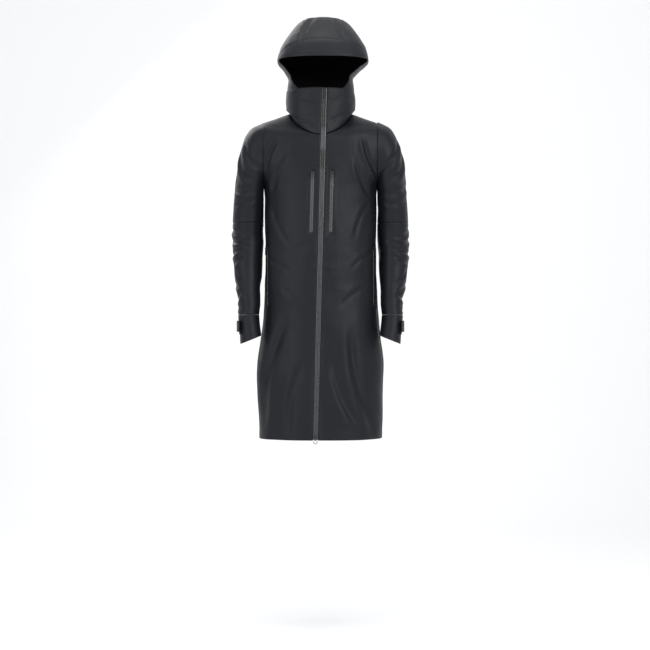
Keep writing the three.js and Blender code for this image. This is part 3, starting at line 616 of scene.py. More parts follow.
def zip_line(nodes, joint, outward):
    """Lower end, length and the axes (across, inward, along) of a zip, in metres."""
    middle, size = middle_of(*nodes)
    along = np.array(joints[joint]["axis"], float)
    along *= np.sign(along[2]) / np.linalg.norm(along)
    inward = -np.array(outward, float)
    inward -= along * (inward @ along)
    inward /= np.linalg.norm(inward)
    across = np.cross(inward, along)
    length = size[2] / along[2]
    return {"low": middle - along * length / 2 - NECK, "length": length,
            "across": across, "inward": inward, "along": along}


def outward_at(x, z):
    """The body's level outward direction where its front passes x at height z, in mm."""
    angle = angle_at_x(BODY_ROWS, np.array([float(z)]), x)
    near = [ring(BODY_ROWS, angle + turn, np.array([float(z)]))[0] for turn in (-0.01, 0.01)]
    tangent = near[1] - near[0]
    return np.cross(tangent / np.linalg.norm(tangent), (0, 0, 1))


ZIPS = {"main": zip_line(["main_zip_tape_left", "main_zip_tape_right"], "main_upper_slide", (0, -1, 0))}
ZIP_HALF = {"main": 7.5}
for side_name, sign in (("left", 1), ("right", -1)):
    ZIPS[f"chest_{side_name}"] = zip_line(
        [f"chest_pocket_zip_{side_name}"], f"chest_{side_name}_slide", (0, -1, 0))
    ZIPS[f"hand_{side_name}"] = zip_line(
        [f"hand_pocket_zip_{side_name}"], f"hand_{side_name}_slide", outward_at(sign * 167.2, -514.5))
    ZIP_HALF[f"chest_{side_name}"], ZIP_HALF[f"hand_{side_name}"] = 4.0, 5.0


def zip_place(points, line):
    """(across, inward, along) of places in mm about a zip's lower end, in mm."""
    axes = np.stack([line["across"], line["inward"], line["along"]], 1)
    return (points - line["low"] / MM) @ axes


def with_channels(points, folds, depth=1.9):
    """The folds, except beside a pocket zip, where the cloth lies on the zip's own plane.

    There the height is (inward - depth * channel): flush with the zip's face, and pressed in behind it."""
    for name, line in ZIPS.items():
        if name == "main":
            continue
        across, inward, along = np.moveaxis(zip_place(points, line), -1, 0)
        reach, length = ZIP_HALF[name], line["length"] / MM
        ends = smooth_step(along, -5, -1) * (1 - smooth_step(along, length + 1, length + 5))
        channel = 1 - smooth_step(np.abs(across), reach - 0.6, reach + 2.4)
        near = (1 - smooth_step(np.abs(across), reach + 2, reach + 16)) * (np.abs(inward) < 25)
        near = near * smooth_step(along, -18, -2) * (1 - smooth_step(along, length + 2, length + 18))
        folds = folds * (1 - near) + near * (inward - depth * channel * ends)
    return folds


for name, line in ZIPS.items():
    print(name, "zip", round(line["length"], 3), "m")

# %% [markdown]
# The body is cut in six cloths, as on the table: two fronts, two side gores that taper to the underarm,
# a yoke for the back and shoulders, and the skirt below it. Each is its own sheet. Its edges dip where
# the taped seam draws them in, which is what makes a seam read as a seam.

# %% Cloth pieces of the body
CUTS = {}  # name: flat width, length and area of each cloth as it is cut, in metres


def cut_size(points):
    """Width, length and area of a cloth before any fold: widest row, longest column, sum of the quads."""
    along, up = np.diff(points, axis=1), np.diff(points, axis=0)
    width = np.linalg.norm(along, axis=2).sum(axis=1).max()
    length = np.linalg.norm(up, axis=2).sum(axis=0).max()
    area = np.linalg.norm(np.cross(along[:-1], up[:, :-1]), axis=2).sum()
    return width * MM, length * MM, area * MM**2


def cloth_sheet(name, place, limits, keys, columns, folds, cloths, edges=(1, 1, 1, 1), wall=1.2):
    """A sheet over place(angle, key) between limits(key), with seams at its edges and folds on it."""
    keys = np.asarray(keys, float)
    first, last = limits(keys)
    share = np.linspace(0, 1, columns)
    angle = first[:, None] + (last - first)[:, None] * share[None, :]
    key = np.broadcast_to(keys[:, None], angle.shape)
    points = place(angle, key)
    CUTS[name] = cut_size(points)
    out = normals_of(points)
    width = np.linalg.norm(np.diff(points, axis=1), axis=2).sum(axis=1)[:, None]
    height = np.linalg.norm(np.diff(points, axis=0), axis=2).sum(axis=0).mean()
    gone = np.concatenate([[0], np.cumsum(np.linalg.norm(np.diff(points[:, columns // 2], axis=0), axis=1))])
    v = (gone / gone[-1])[:, None]
    u = share[None, :]
    left, right, low, high = edges
    dips = [
        np.exp(-((u * width / 2.4) ** 2)) * left,
        np.exp(-(((1 - u) * width / 2.4) ** 2)) * right,
        np.exp(-((v * height / 2.4) ** 2)) * low,
        np.exp(-(((1 - v) * height / 2.4) ** 2)) * high,
    ]
    dip = np.max(np.broadcast_arrays(*dips), axis=0)
    inset = smooth_step(np.minimum(u, 1 - u) * width, 0, 14)
    height_off = folds(points, angle) * (0.35 + 0.65 * inset) - 1.1 * dip
    edge_tone = np.max(np.broadcast_arrays(
        *[0.5 * d for d in dips], 0.8 * np.exp(-((v * height / 5) ** 2)) * low), axis=0)
    points = points + out * height_off[..., None]
    sheet = grid_mesh(name, points * MM, materials=cloths, values={"edge": edge_tone})
    return thicken(sheet, wall * MM)


def seam_or_armhole(keys):
    """Seams dip fully below the underarm, and by only a tenth round the armhole."""
    return (1 - 0.9 * smooth_step(keys, UNDERARM - 4, UNDERARM + 12))[:, None]


HEM_Z, NECK_KEY, YOKE_SEAM = -1022.0, -3.0, -330.0
HEM_BAND = 24.0


def body_place(angle, key):
    return ring(BODY_ROWS, angle, key)


def hem_band(points):
    """The hem's second layer stands a little proud, down to the edge."""
    return 0.55 * (1 - smooth_step(points[..., 2], HEM_Z + HEM_BAND - 0.8, HEM_Z + HEM_BAND + 0.8))


def chest_seam(points):
    """A short level seam joins the two chest zips above their tops: 1.1 mm deep, 100 mm long."""
    x, z = points[..., 0], points[..., 2]
    return -1.1 * np.exp(-(((z + 178) / 1.7) ** 2)) * (1 - smooth_step(np.abs(x - 2), 46, 51))


def front_folds(points, angle):
    return with_channels(points, body_folds(points, angle) + hem_band(points)) + chest_seam(points)


def plain_folds(points, angle):
    return body_folds(points, angle) + hem_band(points)


def front_limits(side):
    """From the main zip's edge to the side seam; the right front is its mirror."""
    def limits(keys):
        front_z = row_values(BODY_ROWS, keys)[2]
        edge = angle_at_x(BODY_ROWS, keys, zip_x(front_z) + side * (ZIP_HALF["main"] + 0.3))
        seam = side_limit(keys, FRONT_SEAM)
        return (edge, seam) if side > 0 else (-math.pi - seam, edge)
    return limits


def gore_limits(side):
    def limits(keys):
        front, back = side_limit(keys, FRONT_SEAM), side_limit(keys, BACK_SEAM)
        return (front, back) if side > 0 else (math.pi - back, math.pi - front)
    return limits


def back_limits(keys):
    seam = side_limit(keys, BACK_SEAM, back=True)
    return seam, math.pi - seam


upper_keys = np.concatenate([np.linspace(UNDERARM, -160, 34)[1:], np.linspace(-160, NECK_KEY, 62)[1:]])
front_keys = np.concatenate([np.linspace(HEM_Z, UNDERARM, 232), upper_keys])
skirt_keys = np.linspace(HEM_Z, YOKE_SEAM - 0.2, 196)
yoke_keys = np.concatenate([np.linspace(YOKE_SEAM + 0.2, UNDERARM, 30), upper_keys])
gore_keys = np.linspace(HEM_Z, UNDERARM - 1.5, 226)
body_cloths = (shell_cloth, lining_cloth)

for side_name, sign in (("left", 1), ("right", -1)):
    seam = seam_or_armhole(front_keys)
    front = cloth_sheet(f"front_{side_name}", body_place, front_limits(sign), front_keys, 92,
                        front_folds, body_cloths, edges=(1, seam, 0, 0.6) if sign > 0 else (seam, 1, 0, 0.6))
    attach(front, "root")
    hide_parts(*[f"front_{part}_{side_name}" for part in ("panel", "waist", "skirt")])
    gore = cloth_sheet(f"side_gore_{side_name}", body_place, gore_limits(sign), gore_keys, 44,
                       plain_folds, body_cloths, edges=(1, 1, 0, 0))
    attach(gore, "root")
    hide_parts(f"side_panel_{side_name}")
skirt = cloth_sheet("back_skirt_cloth", body_place, back_limits, skirt_keys, 128,
                    plain_folds, body_cloths, edges=(1, 1, 0, 1))
yoke_seam = seam_or_armhole(yoke_keys)
yoke = cloth_sheet("back_yoke_cloth", body_place, back_limits, yoke_keys, 132,
                   plain_folds, body_cloths, edges=(yoke_seam, yoke_seam, 1, 0.6))
for piece, node in ((skirt, "back_skirt"), (yoke, "back_yoke")):
    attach(piece, "root")
    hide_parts(node)
for name, size in CUTS.items():
    print(name, "cut", [round(value, 3) for value in size])

# %% [markdown]
# The collar is one tall funnel from zip to zip, cut high enough to cover the chin. It stands because
# it is doubled, so its folds are few and run level, where the wearer's nodding presses it down.

# %% Collar
def collar_folds(points, angle):
    level = 1.5 * lattice_noise(points, 34, 41) + 1.4 * crumple(points, 40, 43, (2.6, 2.6, 0.9))
    lower = (points[..., 0], points[..., 2])
    total = level
    for start, end, width, depth in (
        ((-84, -22), (-14, -46), 6, 2.0),
        ((88, -10), (34, -40), 6, 1.8),
        ((-60, 32), (4, 24), 5, 1.4),
        ((66, 36), (22, 20), 5, 1.2),
    ):
        total = total + (points[..., 1] < 0) * crease(np.stack(lower, -1), start, end, width, depth)
    return total


def collar_place(angle, key):
    return ring(COLLAR_ROWS, angle, key)


def collar_limits(keys):
    front_z = row_values(COLLAR_ROWS, keys)[2]
    half = ZIP_HALF["main"] + 0.3
    first = angle_at_x(COLLAR_ROWS, keys, zip_x(front_z) + half)
    return first, 2 * math.pi + angle_at_x(COLLAR_ROWS, keys, zip_x(front_z) - half)


collar = cloth_sheet("collar_cloth", collar_place, collar_limits, np.linspace(0.4, 67, 44), 230,
                     collar_folds, (hood_cloth, lining_cloth), edges=(1, 1, 1, 0.5), wall=1.5)
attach(collar, "root")
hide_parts("collar_left", "collar_right", "collar_back")
print("collar", len(collar.data.polygons), "faces")

# %% [markdown]
# The hood is built to be worn over a helmet: three cloths, with a crown strip between two sides, and a
# laminated brim that keeps its curve. Here it is one surface of rings that rise from the collar and
# close at the crown. Below the brim the rings are open at the face, so those faces are simply not made.
# The seams of the crown and the brim are drawn in where they lie.

# %% Hood
HOOD_ROWS = [  # key, height, half-width, front, back, middle, squareness, shift to the left
    (0, 64.6, 106, -108.5, 89, 0, 2.4, 0),
    (20, 84, 104, -108, 91, 0, 2.4, 0),
    (40, 104, 101, -107, 92, 0, 2.4, 0),
    (70, 128, 120, -142, 106, -25, 2.5, 5),
    (100, 152, 142, -178, 118, -55, 2.6, 9),
    (140, 190, 134, -168, 126, -40, 2.5, 9),
    (180, 225, 116, -142, 120, -25, 2.4, 9),
    (220, 258, 94, -108, 102, -12, 2.3, 9),
    (255, 282, 72, -74, 74, -5, 2.2, 9),
    (285, 294, 48, -46, 46, 0, 2.1, 9),
    (318, 298, 20, -18, 18, 0, 2, 9),
    (338, 298.6, 0.4, -0.4, 0.4, 0, 2, 9),
]
FACE_EDGE = [(0, -91.6), (20, -74), (40, -60), (70, -83), (100, -106)]  # key, and where the face edge lies
BRIM_KEY = 100
CROWN_HALF, CROWN_MIDDLE = 56, 9
BACK_COLUMNS, BRIM_COLUMNS = 160, 96


def hood_place(angle, key):
    """x = shift + r cos, y = middle + r sin, with r the radius of a rounded rectangle."""
    z, half, front, back, middle, power, shift = row_values(HOOD_ROWS, key)
    lean = np.sin(angle)
    depth = np.where(lean < 0, middle - front, back - middle)
    r = radius_of(angle, half, depth, power)
    return np.stack([shift + r * np.cos(angle), middle + r * lean, z], -1)


def face_angle(key):
    """The angle of the face edge on a ring; above the brim's edge it stays as it is there."""
    edge = np.array(FACE_EDGE, float)
    held = np.minimum(key, BRIM_KEY)
    y = through_rows(edge[:, 0], edge[:, 1:], held)[..., 0]
    _, half, front, _, middle, power, _ = row_values(HOOD_ROWS, held)
    share = np.clip((middle - y) / (middle - front), 0, 1)
    x = half * (1 - share**power) ** (1 / power)
    return np.arctan2(y - middle, x)


def line_dip(distance, width=2.6):
    return np.exp(-((distance / width) ** 2))


def hood_relief(points, edge_distance):
    """Seams of the crown and brim, the band along the brim's edge, and the hood's folds."""
    x, y, z = np.moveaxis(points, -1, 0)
    off_middle = np.abs(x - CROWN_MIDDLE)
    brim_run = np.array([-78.0, 64.0]) / math.hypot(78, 64)
    before_brim = (y + 72) * brim_run[1] - (z - 138) * brim_run[0]
    crown = line_dip(off_middle - CROWN_HALF) * smooth_step(before_brim, -2, 8) * smooth_step(z, 100, 112)
    brim = line_dip(before_brim) * smooth_step(z, 132, 142) * (y < 0)
    taped = 0.35 * smooth_step(off_middle, CROWN_HALF + 8, CROWN_HALF + 6) * (off_middle > CROWN_HALF)
    band = 0.7 * (1 - smooth_step(edge_distance, 15.2, 17))
    stiff = smooth_step(before_brim, -30, 20)
    folds = (0.35 + 0.65 * stiff) * (
        2.2 * lattice_noise(points, 70, 51) + 1.7 * crumple(points, 64, 53, (1, 1.8, 1)))
    flat = np.stack([x, z], -1)
    for start, end, width, depth in (
        ((-14, 296), (-62, 196), 9, 2.2),
        ((36, 296), (84, 200), 9, 2.0),
        ((-96, 150), (-70, 96), 8, 2.4),
        ((104, 150), (76, 98), 8, 2.2),
    ):
        folds = folds + crease(flat, start, end, width, depth)
    back = smooth_step(y, 20, 70)
    for start, end, width, depth in (
        ((-70, 120), (-10, 104), 7, 2.6),
        ((78, 122), (18, 102), 7, 2.4),
        ((-60, 176), (20, 150), 10, 2.4),
        ((72, 172), (8, 138), 9, 2.0),
    ):
        folds = folds + back * crease(flat, start, end, width, depth)
    calm = smooth_step(z, 298, 288)
    return folds * np.maximum(calm, 0.15) + taped + band - 1.3 * np.maximum(crown, brim)


def build_hood():
    keys = np.concatenate([np.linspace(0, BRIM_KEY, 40), np.linspace(BRIM_KEY, 338, 106)[1:]])
    edge = face_angle(keys)
    back_share = np.linspace(0, 1, BACK_COLUMNS + 1)[:-1]
    brim_share = np.linspace(0, 1, BRIM_COLUMNS + 1)[:-1]
    back = edge[:, None] + (math.pi - 2 * edge)[:, None] * back_share
    brim = (math.pi - edge)[:, None] + (math.pi + 2 * edge)[:, None] * brim_share
    angle = np.concatenate([back, brim], axis=1)
    key = np.broadcast_to(keys[:, None], angle.shape)
    points = hood_place(angle, key)
    rim_row = int(np.argmin(np.abs(keys - BRIM_KEY)))
    out = normals_of(points, loop=True)
    risen = np.abs(key - BRIM_KEY)
    column = np.arange(angle.shape[1])
    is_brim = (column >= BACK_COLUMNS) | (column == 0)
    from_side = np.minimum(column, np.abs(BACK_COLUMNS - column)) * 3.4
    edge_distance = np.where(is_brim, np.where(key >= BRIM_KEY, risen, 0), np.hypot(
        from_side, np.maximum(key - BRIM_KEY, 0)))
    relief = hood_relief(points, edge_distance)
    edge_tone = 0.7 * np.exp(-((edge_distance / 4) ** 2))
    points = points + out * relief[..., None]
    rows, columns = angle.shape
    face_row, face_column = np.meshgrid(np.arange(rows - 1), np.arange(columns), indexing="ij")
    keep = (face_column < BACK_COLUMNS) | (face_row >= rim_row)
    piece = grid_mesh("hood_cloth_piece", points * MM, loop=True, keep=keep,
                      materials=(hood_cloth, lining_cloth), values={"edge": edge_tone})
    return thicken(piece, 1.3 * MM)


hood = build_hood()
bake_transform(hood)
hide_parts("hood_brim", "hood_crown", "hood_side_left", "hood_side_right", "hood_neck_gusset")

# %% [markdown]
# A sleeve is a tube that leaves the armhole and bends a little forward, as an arm hangs. It is two
# cloths with a seam above the elbow. Most of a sleeve's life is in its folds: they pile up inside the
# elbow and under the arm, and twist round the forearm. The first ring is the armhole itself, so that the
# sleeve starts exactly where the body's cloths end.

# %% The shape of the sleeves
SLEEVE_ROWS = [  # key, inner x and z, outer x and z, middle y, half-depth
    (0, 178.4, -235, 179.2, -36, -4, 87),
    (1, 178.5, -238, 217, -51, -4, 87),
    (2, 178.6, -241, 233, -70, -4, 86),
    (3, 178.8, -246, 248, -108, -4, 84),
    (4, 179, -254, 260, -160, -4, 80),
    (5, 179, -266, 266, -214, -2, 75),
    (6, 179, -300, 274, -293, 4, 68),
    (7, 179, -350, 277, -350, 9, 64),
    (8, 179.5, -400, 278, -400, 14, 61),
    (9, 182.5, -450, 277.5, -450, 10, 59),
    (10, 184, -507.9, 272, -507.9, -2, 56),
    (11, 188, -555, 264, -555, -18, 50),
    (12, 188, -600.1, 256, -600.1, -36, 44),
    (13, 191, -635.9, 257, -635.9, -48, 42),
    (14, 184, -701, 248, -727, -70, 40),
]
SLEEVE_SQUARENESS = 2.15
ARMHOLE_MIDDLE = np.array([-4.0, -136.0])


def sleeve_place(side, angle, key):
    """x and z run from the inner to the outer edge by (1 + r cos / half) / 2; y = middle - r sin."""
    inner_x, inner_z, outer_x, outer_z, middle, depth = row_values(SLEEVE_ROWS, key)
    half = np.hypot(outer_x - inner_x, outer_z - inner_z) / 2
    r = radius_of(angle, half, depth, SLEEVE_SQUARENESS)
    share = (1 + r * np.cos(angle) / half) / 2
    return np.stack([
        side * (inner_x + (outer_x - inner_x) * share),
        middle - side * r * np.sin(angle),
        inner_z + (outer_z - inner_z) * share,
    ], -1)


def armhole_radius(bearing):
    """Distance from the armhole's middle to its edge, by the bearing in the (y, z) plane."""
    keys = np.linspace(UNDERARM + 0.05, -36, 400)
    edges = []
    for back in (False, True):
        angle = angle_at_x(BODY_ROWS, keys, np.full_like(keys, ARM_X), back)
        edges.append(ring(BODY_ROWS, angle, keys)[:, 1:])
    rim = np.concatenate(edges) - ARMHOLE_MIDDLE
    bearings, radii = np.arctan2(rim[:, 1], rim[:, 0]), np.hypot(rim[:, 0], rim[:, 1])
    order = np.argsort(bearings)
    return np.interp(bearing, bearings[order], radii[order], period=2 * math.pi)


def meet_armhole(points, key, side):
    """Moves the first rows on to the armhole's edge, by (1 - key / 2.5) squared."""
    spoke = points[..., 1:] - ARMHOLE_MIDDLE
    bearing = np.arctan2(spoke[..., 1], spoke[..., 0])
    radius = armhole_radius(bearing[0])
    target = ARMHOLE_MIDDLE + radius[:, None] * np.stack([np.cos(bearing[0]), np.sin(bearing[0])], -1)
    target = np.concatenate([np.full((len(radius), 1), side * (ARM_X + 0.3)), target], axis=1)
    fade = np.maximum(1 - key[:, :1] / 2.5, 0) ** 2
    return points + fade[..., None] * (target - points[0])


print("sleeve rows", len(SLEEVE_ROWS), "armhole radius", armhole_radius(np.array([0.0, 1.57, 3.1])).round(1))

# %% Sleeves
ELBOW_FOLDS = [  # across the sleeve in mm round its outer line (front is positive), height in mm
    ((-30, -352), (92, -392), 8, 2.6),
    ((-10, -398), (104, -408), 7, 3.0),
    ((-34, -446), (96, -424), 8, 2.6),
    ((10, -476), (88, -452), 7, 2.2),
    ((-96, -372), (-20, -398), 9, 2.2),
    ((-100, -430), (-26, -408), 9, 2.0),
    ((20, -236), (112, -262), 9, 3.0),
    ((36, -286), (118, -286), 8, 2.4),
    ((-118, -250), (-30, -216), 10, 2.6),
    ((-10, -120), (44, -240), 10, 2.6),
    ((34, -118), (112, -232), 10, 4.2),
    ((72, -92), (124, -196), 8, 3.4),
    ((-92, -110), (-40, -220), 11, 2.4),
    ((-44, -520), (62, -560), 9, 2.2),
    ((-20, -590), (74, -566), 8, 2.4),
    ((-66, -604), (20, -622), 7, 1.8),
    ((30, -498), (86, -540), 8, 1.7),
]


def sleeve_folds(points, side, seed):
    """Creases in the sleeve's own (round, height) plane, with crumple where the arm bends."""
    x, y, z = np.moveaxis(points, -1, 0)
    middle_x = side * (228 - 10 * smooth_step(z, -480, -640))
    middle_y = np.interp(z, [-727, -636, -555, -450, -400, -300, -100], [-70, -48, -18, 10, 14, 4, -4])
    turned = np.arctan2(-(y - middle_y), side * (x - middle_x))
    flat = np.stack([turned * 58, z], -1)
    total = 2.6 * lattice_noise(points, 62, seed) + 1.5 * crumple(points, 60, seed + 2, (1, 1, 2.4))
    elbow = np.exp(-(((z + 412) / 62) ** 2))
    wrist = np.exp(-(((z + 590) / 48) ** 2))
    pit = np.exp(-(((z + 262) / 46) ** 2)) * smooth_step(-np.cos(turned), -0.2, 0.8)
    total = total + (1.1 * elbow + 0.8 * wrist + 2.0 * pit) * crumple(points, 34, seed + 5, (2.2, 2.2, 0.75))
    shift = 9 * lattice_noise(np.array([[float(seed), 3.0, side * 5.0]]), 1.7, seed)[0]
    for start, end, width, depth in ELBOW_FOLDS:
        start, end = (start[0] + shift, start[1] - shift), (end[0] - shift, end[1] + shift)
        total = total + crease(flat, start, end, width, depth)
    return total


def sleeve_tube(name, side, keys, columns, seed, rims=(1, 1), relief=None):
    angle = np.linspace(0, 2 * math.pi, columns, endpoint=False)[None, :] + np.zeros((len(keys), 1))
    key = np.broadcast_to(np.asarray(keys, float)[:, None], angle.shape)
    points = sleeve_place(side, angle, key)
    if keys[0] == 0:
        points = meet_armhole(points, key, side)
    out = normals_of(points, loop=True)
    steps = np.linalg.norm(np.diff(points, axis=0), axis=2)
    gone = np.pad(np.cumsum(steps, axis=0), ((1, 0), (0, 0)))
    first, last = gone, gone[-1] - gone
    dip = np.maximum(rims[0] * np.exp(-((first / 2.4) ** 2)), rims[1] * np.exp(-((last / 2.4) ** 2)))
    calm = smooth_step(first, 0, 16 * rims[0] + 0.01) * smooth_step(last, 0, 16 * rims[1] + 0.01)
    height = sleeve_folds(points, side, seed) * (0.25 + 0.75 * calm) - 1.0 * dip
    if relief is not None:
        height = height * (1 - 0.65 * calm) + relief(points, last)
    inner = smooth_step(-np.cos(angle), 0.1, 0.9)
    height = np.where(height > 0, height * (1 - 0.8 * inner), height)
    closed = np.concatenate([points, points[:, :1]], axis=1)
    CUTS[name] = cut_size(closed)
    points = points + out * height[..., None]
    tube = grid_mesh(name, points * MM, loop=True, materials=(shell_cloth, lining_cloth),
                     values={"edge": 0.6 * dip})
    return thicken(tube, 1.2 * MM)


ELBOW_SEAM_KEY = 6.95
for side_name, sign in (("left", 1), ("right", -1)):
    seed = 61 if sign > 0 else 83
    head_keys = np.concatenate([np.linspace(0, 5, 70), np.linspace(5, ELBOW_SEAM_KEY, 42)[1:]])
    upper = sleeve_tube(f"upper_sleeve_cloth_{side_name}", sign, head_keys, 110, seed, rims=(0.15, 1))
    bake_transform(upper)
    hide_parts(f"upper_sleeve_{side_name}")
    lower_keys = np.linspace(ELBOW_SEAM_KEY + 0.01, 13, 150)
    lower = sleeve_tube(f"forearm_cloth_{side_name}", sign, lower_keys, 104, seed)
    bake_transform(lower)
    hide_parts(f"elbow_section_{side_name}", f"forearm_{side_name}")
    cuff = sleeve_tube(f"cuff_cloth_{side_name}", sign, np.linspace(13.005, 14, 44), 104, seed,
                       rims=(1, 0.3), relief=lambda points, last: 0.5 * (1 - smooth_step(last, 17, 18.6)))
    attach(cuff, f"forearm_body_{side_name}")
    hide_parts(f"cuff_band_{side_name}")
print("sleeves", [round(size[2], 3) for name, size in CUTS.items() if "sleeve" in name or "cuff" in name])

# %% [markdown]
# The zips are the water-resistant kind: two strips of tape face outwards, coated in soft plastic, and
# their lips meet over the coil. The coating is smooth where all the rest is woven, and a painted
# highlight along the lips' rims adds to its one bright line on this coat; painted shade darkens the
# film in the collar and across the upper chest. The coil shows only as a row of dots in the slot.

# %% Finishes for trim
def coated(name, colour, roughness, grain, depth, **sockets):
    """A moulded or coated finish: tinted colour and a fine noise as bump."""
    material = principled(name, colour, roughness, **sockets)
    nodes, links = material.node_tree.nodes, material.node_tree.links
    shader = nodes["Principled BSDF"]
    wandering, shade = nodes.new("ShaderNodeGroup"), nodes.new("ShaderNodeGroup")
    wandering.node_tree, shade.node_tree = drift, tint
    wandering.inputs["Slow"].default_value = 14.0
    wandering.inputs["Quick"].default_value = 160.0
    shade.inputs["Colour"].default_value = (*colour, 1)
    shade.inputs["Spread"].default_value = 0.22
    # Among these finishes only the zip film's strips carry an 'edge' attribute: painted highlight and painted
    # shade by height, fed to the tint as colour.
    edge_tone = nodes.new("ShaderNodeAttribute")
    edge_tone.attribute_name = "edge"
    links.new(wandering.outputs["Value"], shade.inputs["Drift"])
    links.new(edge_tone.outputs["Fac"], shade.inputs["Wear_and_painted_light"])
    links.new(shade.outputs["Colour"], shader.inputs["Base Color"])
    swing = math_node(nodes, links, "MULTIPLY", wandering.outputs["Value"], 0.2)
    links.new(math_node(nodes, links, "ADD", swing, roughness - 0.1), shader.inputs["Roughness"])
    place, noise, bump = [nodes.new("ShaderNode" + kind) for kind in ("TexCoord", "TexNoise", "Bump")]
    noise.inputs["Scale"].default_value = grain
    links.new(place.outputs["Object"], noise.inputs["Vector"])
    bump.inputs["Strength"].default_value = 0.3
    bump.inputs["Distance"].default_value = depth
    links.new(noise.outputs["Fac"], bump.inputs["Height"])
    links.new(bump.outputs["Normal"], shader.inputs["Normal"])
    return material


tape_film = coated("tape_film", (0.030, 0.031, 0.034), 0.28, 900, 0.0001, Coat_Weight=0.35,
                   Coat_Roughness=0.22)
coil_nylon = coated("coil_nylon", (0.012, 0.012, 0.013), 0.42, 1500, 0.00005)
slider_metal = coated("slider_metal", (0.020, 0.020, 0.022), 0.34, 1200, 0.00005)
pull_rubber = coated("pull_rubber", (0.010, 0.010, 0.011), 0.50, 1400, 0.0001)
webbing = cloth("webbing", (0.012, 0.012, 0.013), 0.7, threads=900.0, depth=0.0003)
label_satin = cloth("label_satin", (0.11, 0.11, 0.115), 0.45, threads=2200.0, depth=0.00005)

# %% Zips
# The zip film carries painted highlight and painted shade laid out by height; at a pocket zip only the
# painted rim highlight is left.
POCKET_PAINTED_LIGHT_Z = -400  # a pocket zip's film is shaded as the main zip's is this much further down, in mm


def painted_film_light(z, across):
    """Painted light on the zip film: a painted highlight along the lip's rim, dimmed in the shaded bands,
    painted shade in the collar and across the upper chest, and a painted highlight band a hand's breadth
    below the collar.
    """
    # rim is a painted highlight along each lip beside the slot; collar and chest are painted shade; the band
    # between them is a painted highlight.
    rim = 1.3 * np.exp(-(((np.abs(across) - 0.9) / 0.7) ** 2)) + 0 * z
    collar, chest = smooth_step(z, -66, -54), smooth_step(z, -190, -180) * (1 - smooth_step(z, -132, -122))
    painted_highlight_band = smooth_step(z, -126, -118) * (1 - collar)
    return (rim + 0.9 * painted_highlight_band) * (1 - 0.8 * (collar + chest)) - 1.35 * (collar + chest)


def strip(name, line, across, inward, materials, wall=0.8, step=4.0, ends=(0.0, 0.0)):
    """A band carried along a zip's line; its profile is given by the arrays across and inward, in mm."""
    length = line["length"] / MM - ends[0] - ends[1]
    along = ends[0] + np.linspace(0, length, max(2, int(length / step)))
    shape = (len(along), len(across))
    local = [np.broadcast_to(across, shape), np.broadcast_to(inward, shape),
             np.broadcast_to(along[:, None], shape)]
    points = line["low"] + MM * sum(
        part[..., None] * line[axis] for part, axis in zip(local, ("across", "inward", "along")))
    CUTS[name] = cut_size(points / MM)
    # Every strip takes this painted light as its 'edge' attribute: on the zip film it is painted highlight
    # and painted shade, and on the storm flap a faint painted highlight.
    painted_light_values = painted_film_light(points[..., 2] / MM + (0 if name.startswith("main") else POCKET_PAINTED_LIGHT_Z), local[0])
    band = grid_mesh(name, points, materials=materials, values={"edge": painted_light_values})
    return thicken(band, wall * MM, inside=len(materials) > 1)


def lip_profile(half, depth, side):
    """From the slot to the outer edge: the lip rolls down into the slot and lies flat outside it."""
    u = np.array([0.15, 0.25, 0.5, 0.9, 1.5, 2.4, 0.55 * half, 0.8 * half, half - 0.3, half])
    roll = 0.9 * np.exp(-(((u - 0.15) / 0.42) ** 2))
    crown = -0.25 * np.sin(math.pi * np.clip((u - 0.5) / (half - 0.5), 0, 1))
    edge = 0.5 * np.exp(-(((half - u) / 0.4) ** 2))
    inward = depth + roll + crown + edge
    return (u, inward) if side > 0 else (-u[::-1], inward[::-1])


def coil(name, line, pitch, size, depth, ends=8.0):
    """A row of small diamonds: six corners each, repeated along the line by adding (i * pitch)."""
    count = int((line["length"] / MM - 2 * ends) / pitch)
    corners = np.array([[1, 0, 0], [-1, 0, 0], [0, 1, 0], [0, -1, 0], [0, 0, 1], [0, 0, -1]]) * size
    faces = np.array([[0, 2, 4], [2, 1, 4], [1, 3, 4], [3, 0, 4], [2, 0, 5], [1, 2, 5], [3, 1, 5], [0, 3, 5]])
    steps = ends + pitch * np.arange(count)
    local = corners[None] + np.stack([0 * steps, 0 * steps + depth, steps], 1)[:, None]
    axes = np.stack([line["across"], line["inward"], line["along"]])
    points = (local.reshape(-1, 3) @ axes) * MM + line["low"] + NECK
    if np.linalg.det(axes) < 0:
        faces = faces[:, ::-1]
    every = (faces[None] + 6 * np.arange(count)[:, None, None]).reshape(-1, 3)
    mesh = bpy.data.meshes.new(name)
    mesh.from_pydata(points.tolist(), [], every.tolist())
    mesh.materials.append(coil_nylon)
    piece = bpy.data.objects.new(name, mesh)
    bpy.context.scene.collection.objects.link(piece)
    return piece


for zip_name, line in ZIPS.items():
    is_main = zip_name == "main"
    half = ZIP_HALF[zip_name] + (0.1 if is_main else 0.9)
    depth = 0.5 if is_main else 0.9
    kind, _, side_name = zip_name.partition("_")
    row = coil(f"{zip_name}_zip_coil", line, 1.7 if is_main else 1.3,
               np.array([0.95, 0.5, 0.6]) * (1 if is_main else 0.7), depth + 0.75)
    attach(row, "root")
    for lip_side, sign in (("left", 1), ("right", -1)):
        lip = strip(f"{zip_name}_zip_lip_{lip_side}", line, *lip_profile(half, depth, sign), (tape_film,))
        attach(lip, "root")
        if is_main:
            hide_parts(f"main_zip_tape_{lip_side}")
        elif lip_side == "left":
            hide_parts(f"{kind}_pocket_zip_{side_name}")
print("zips", len(ZIPS))

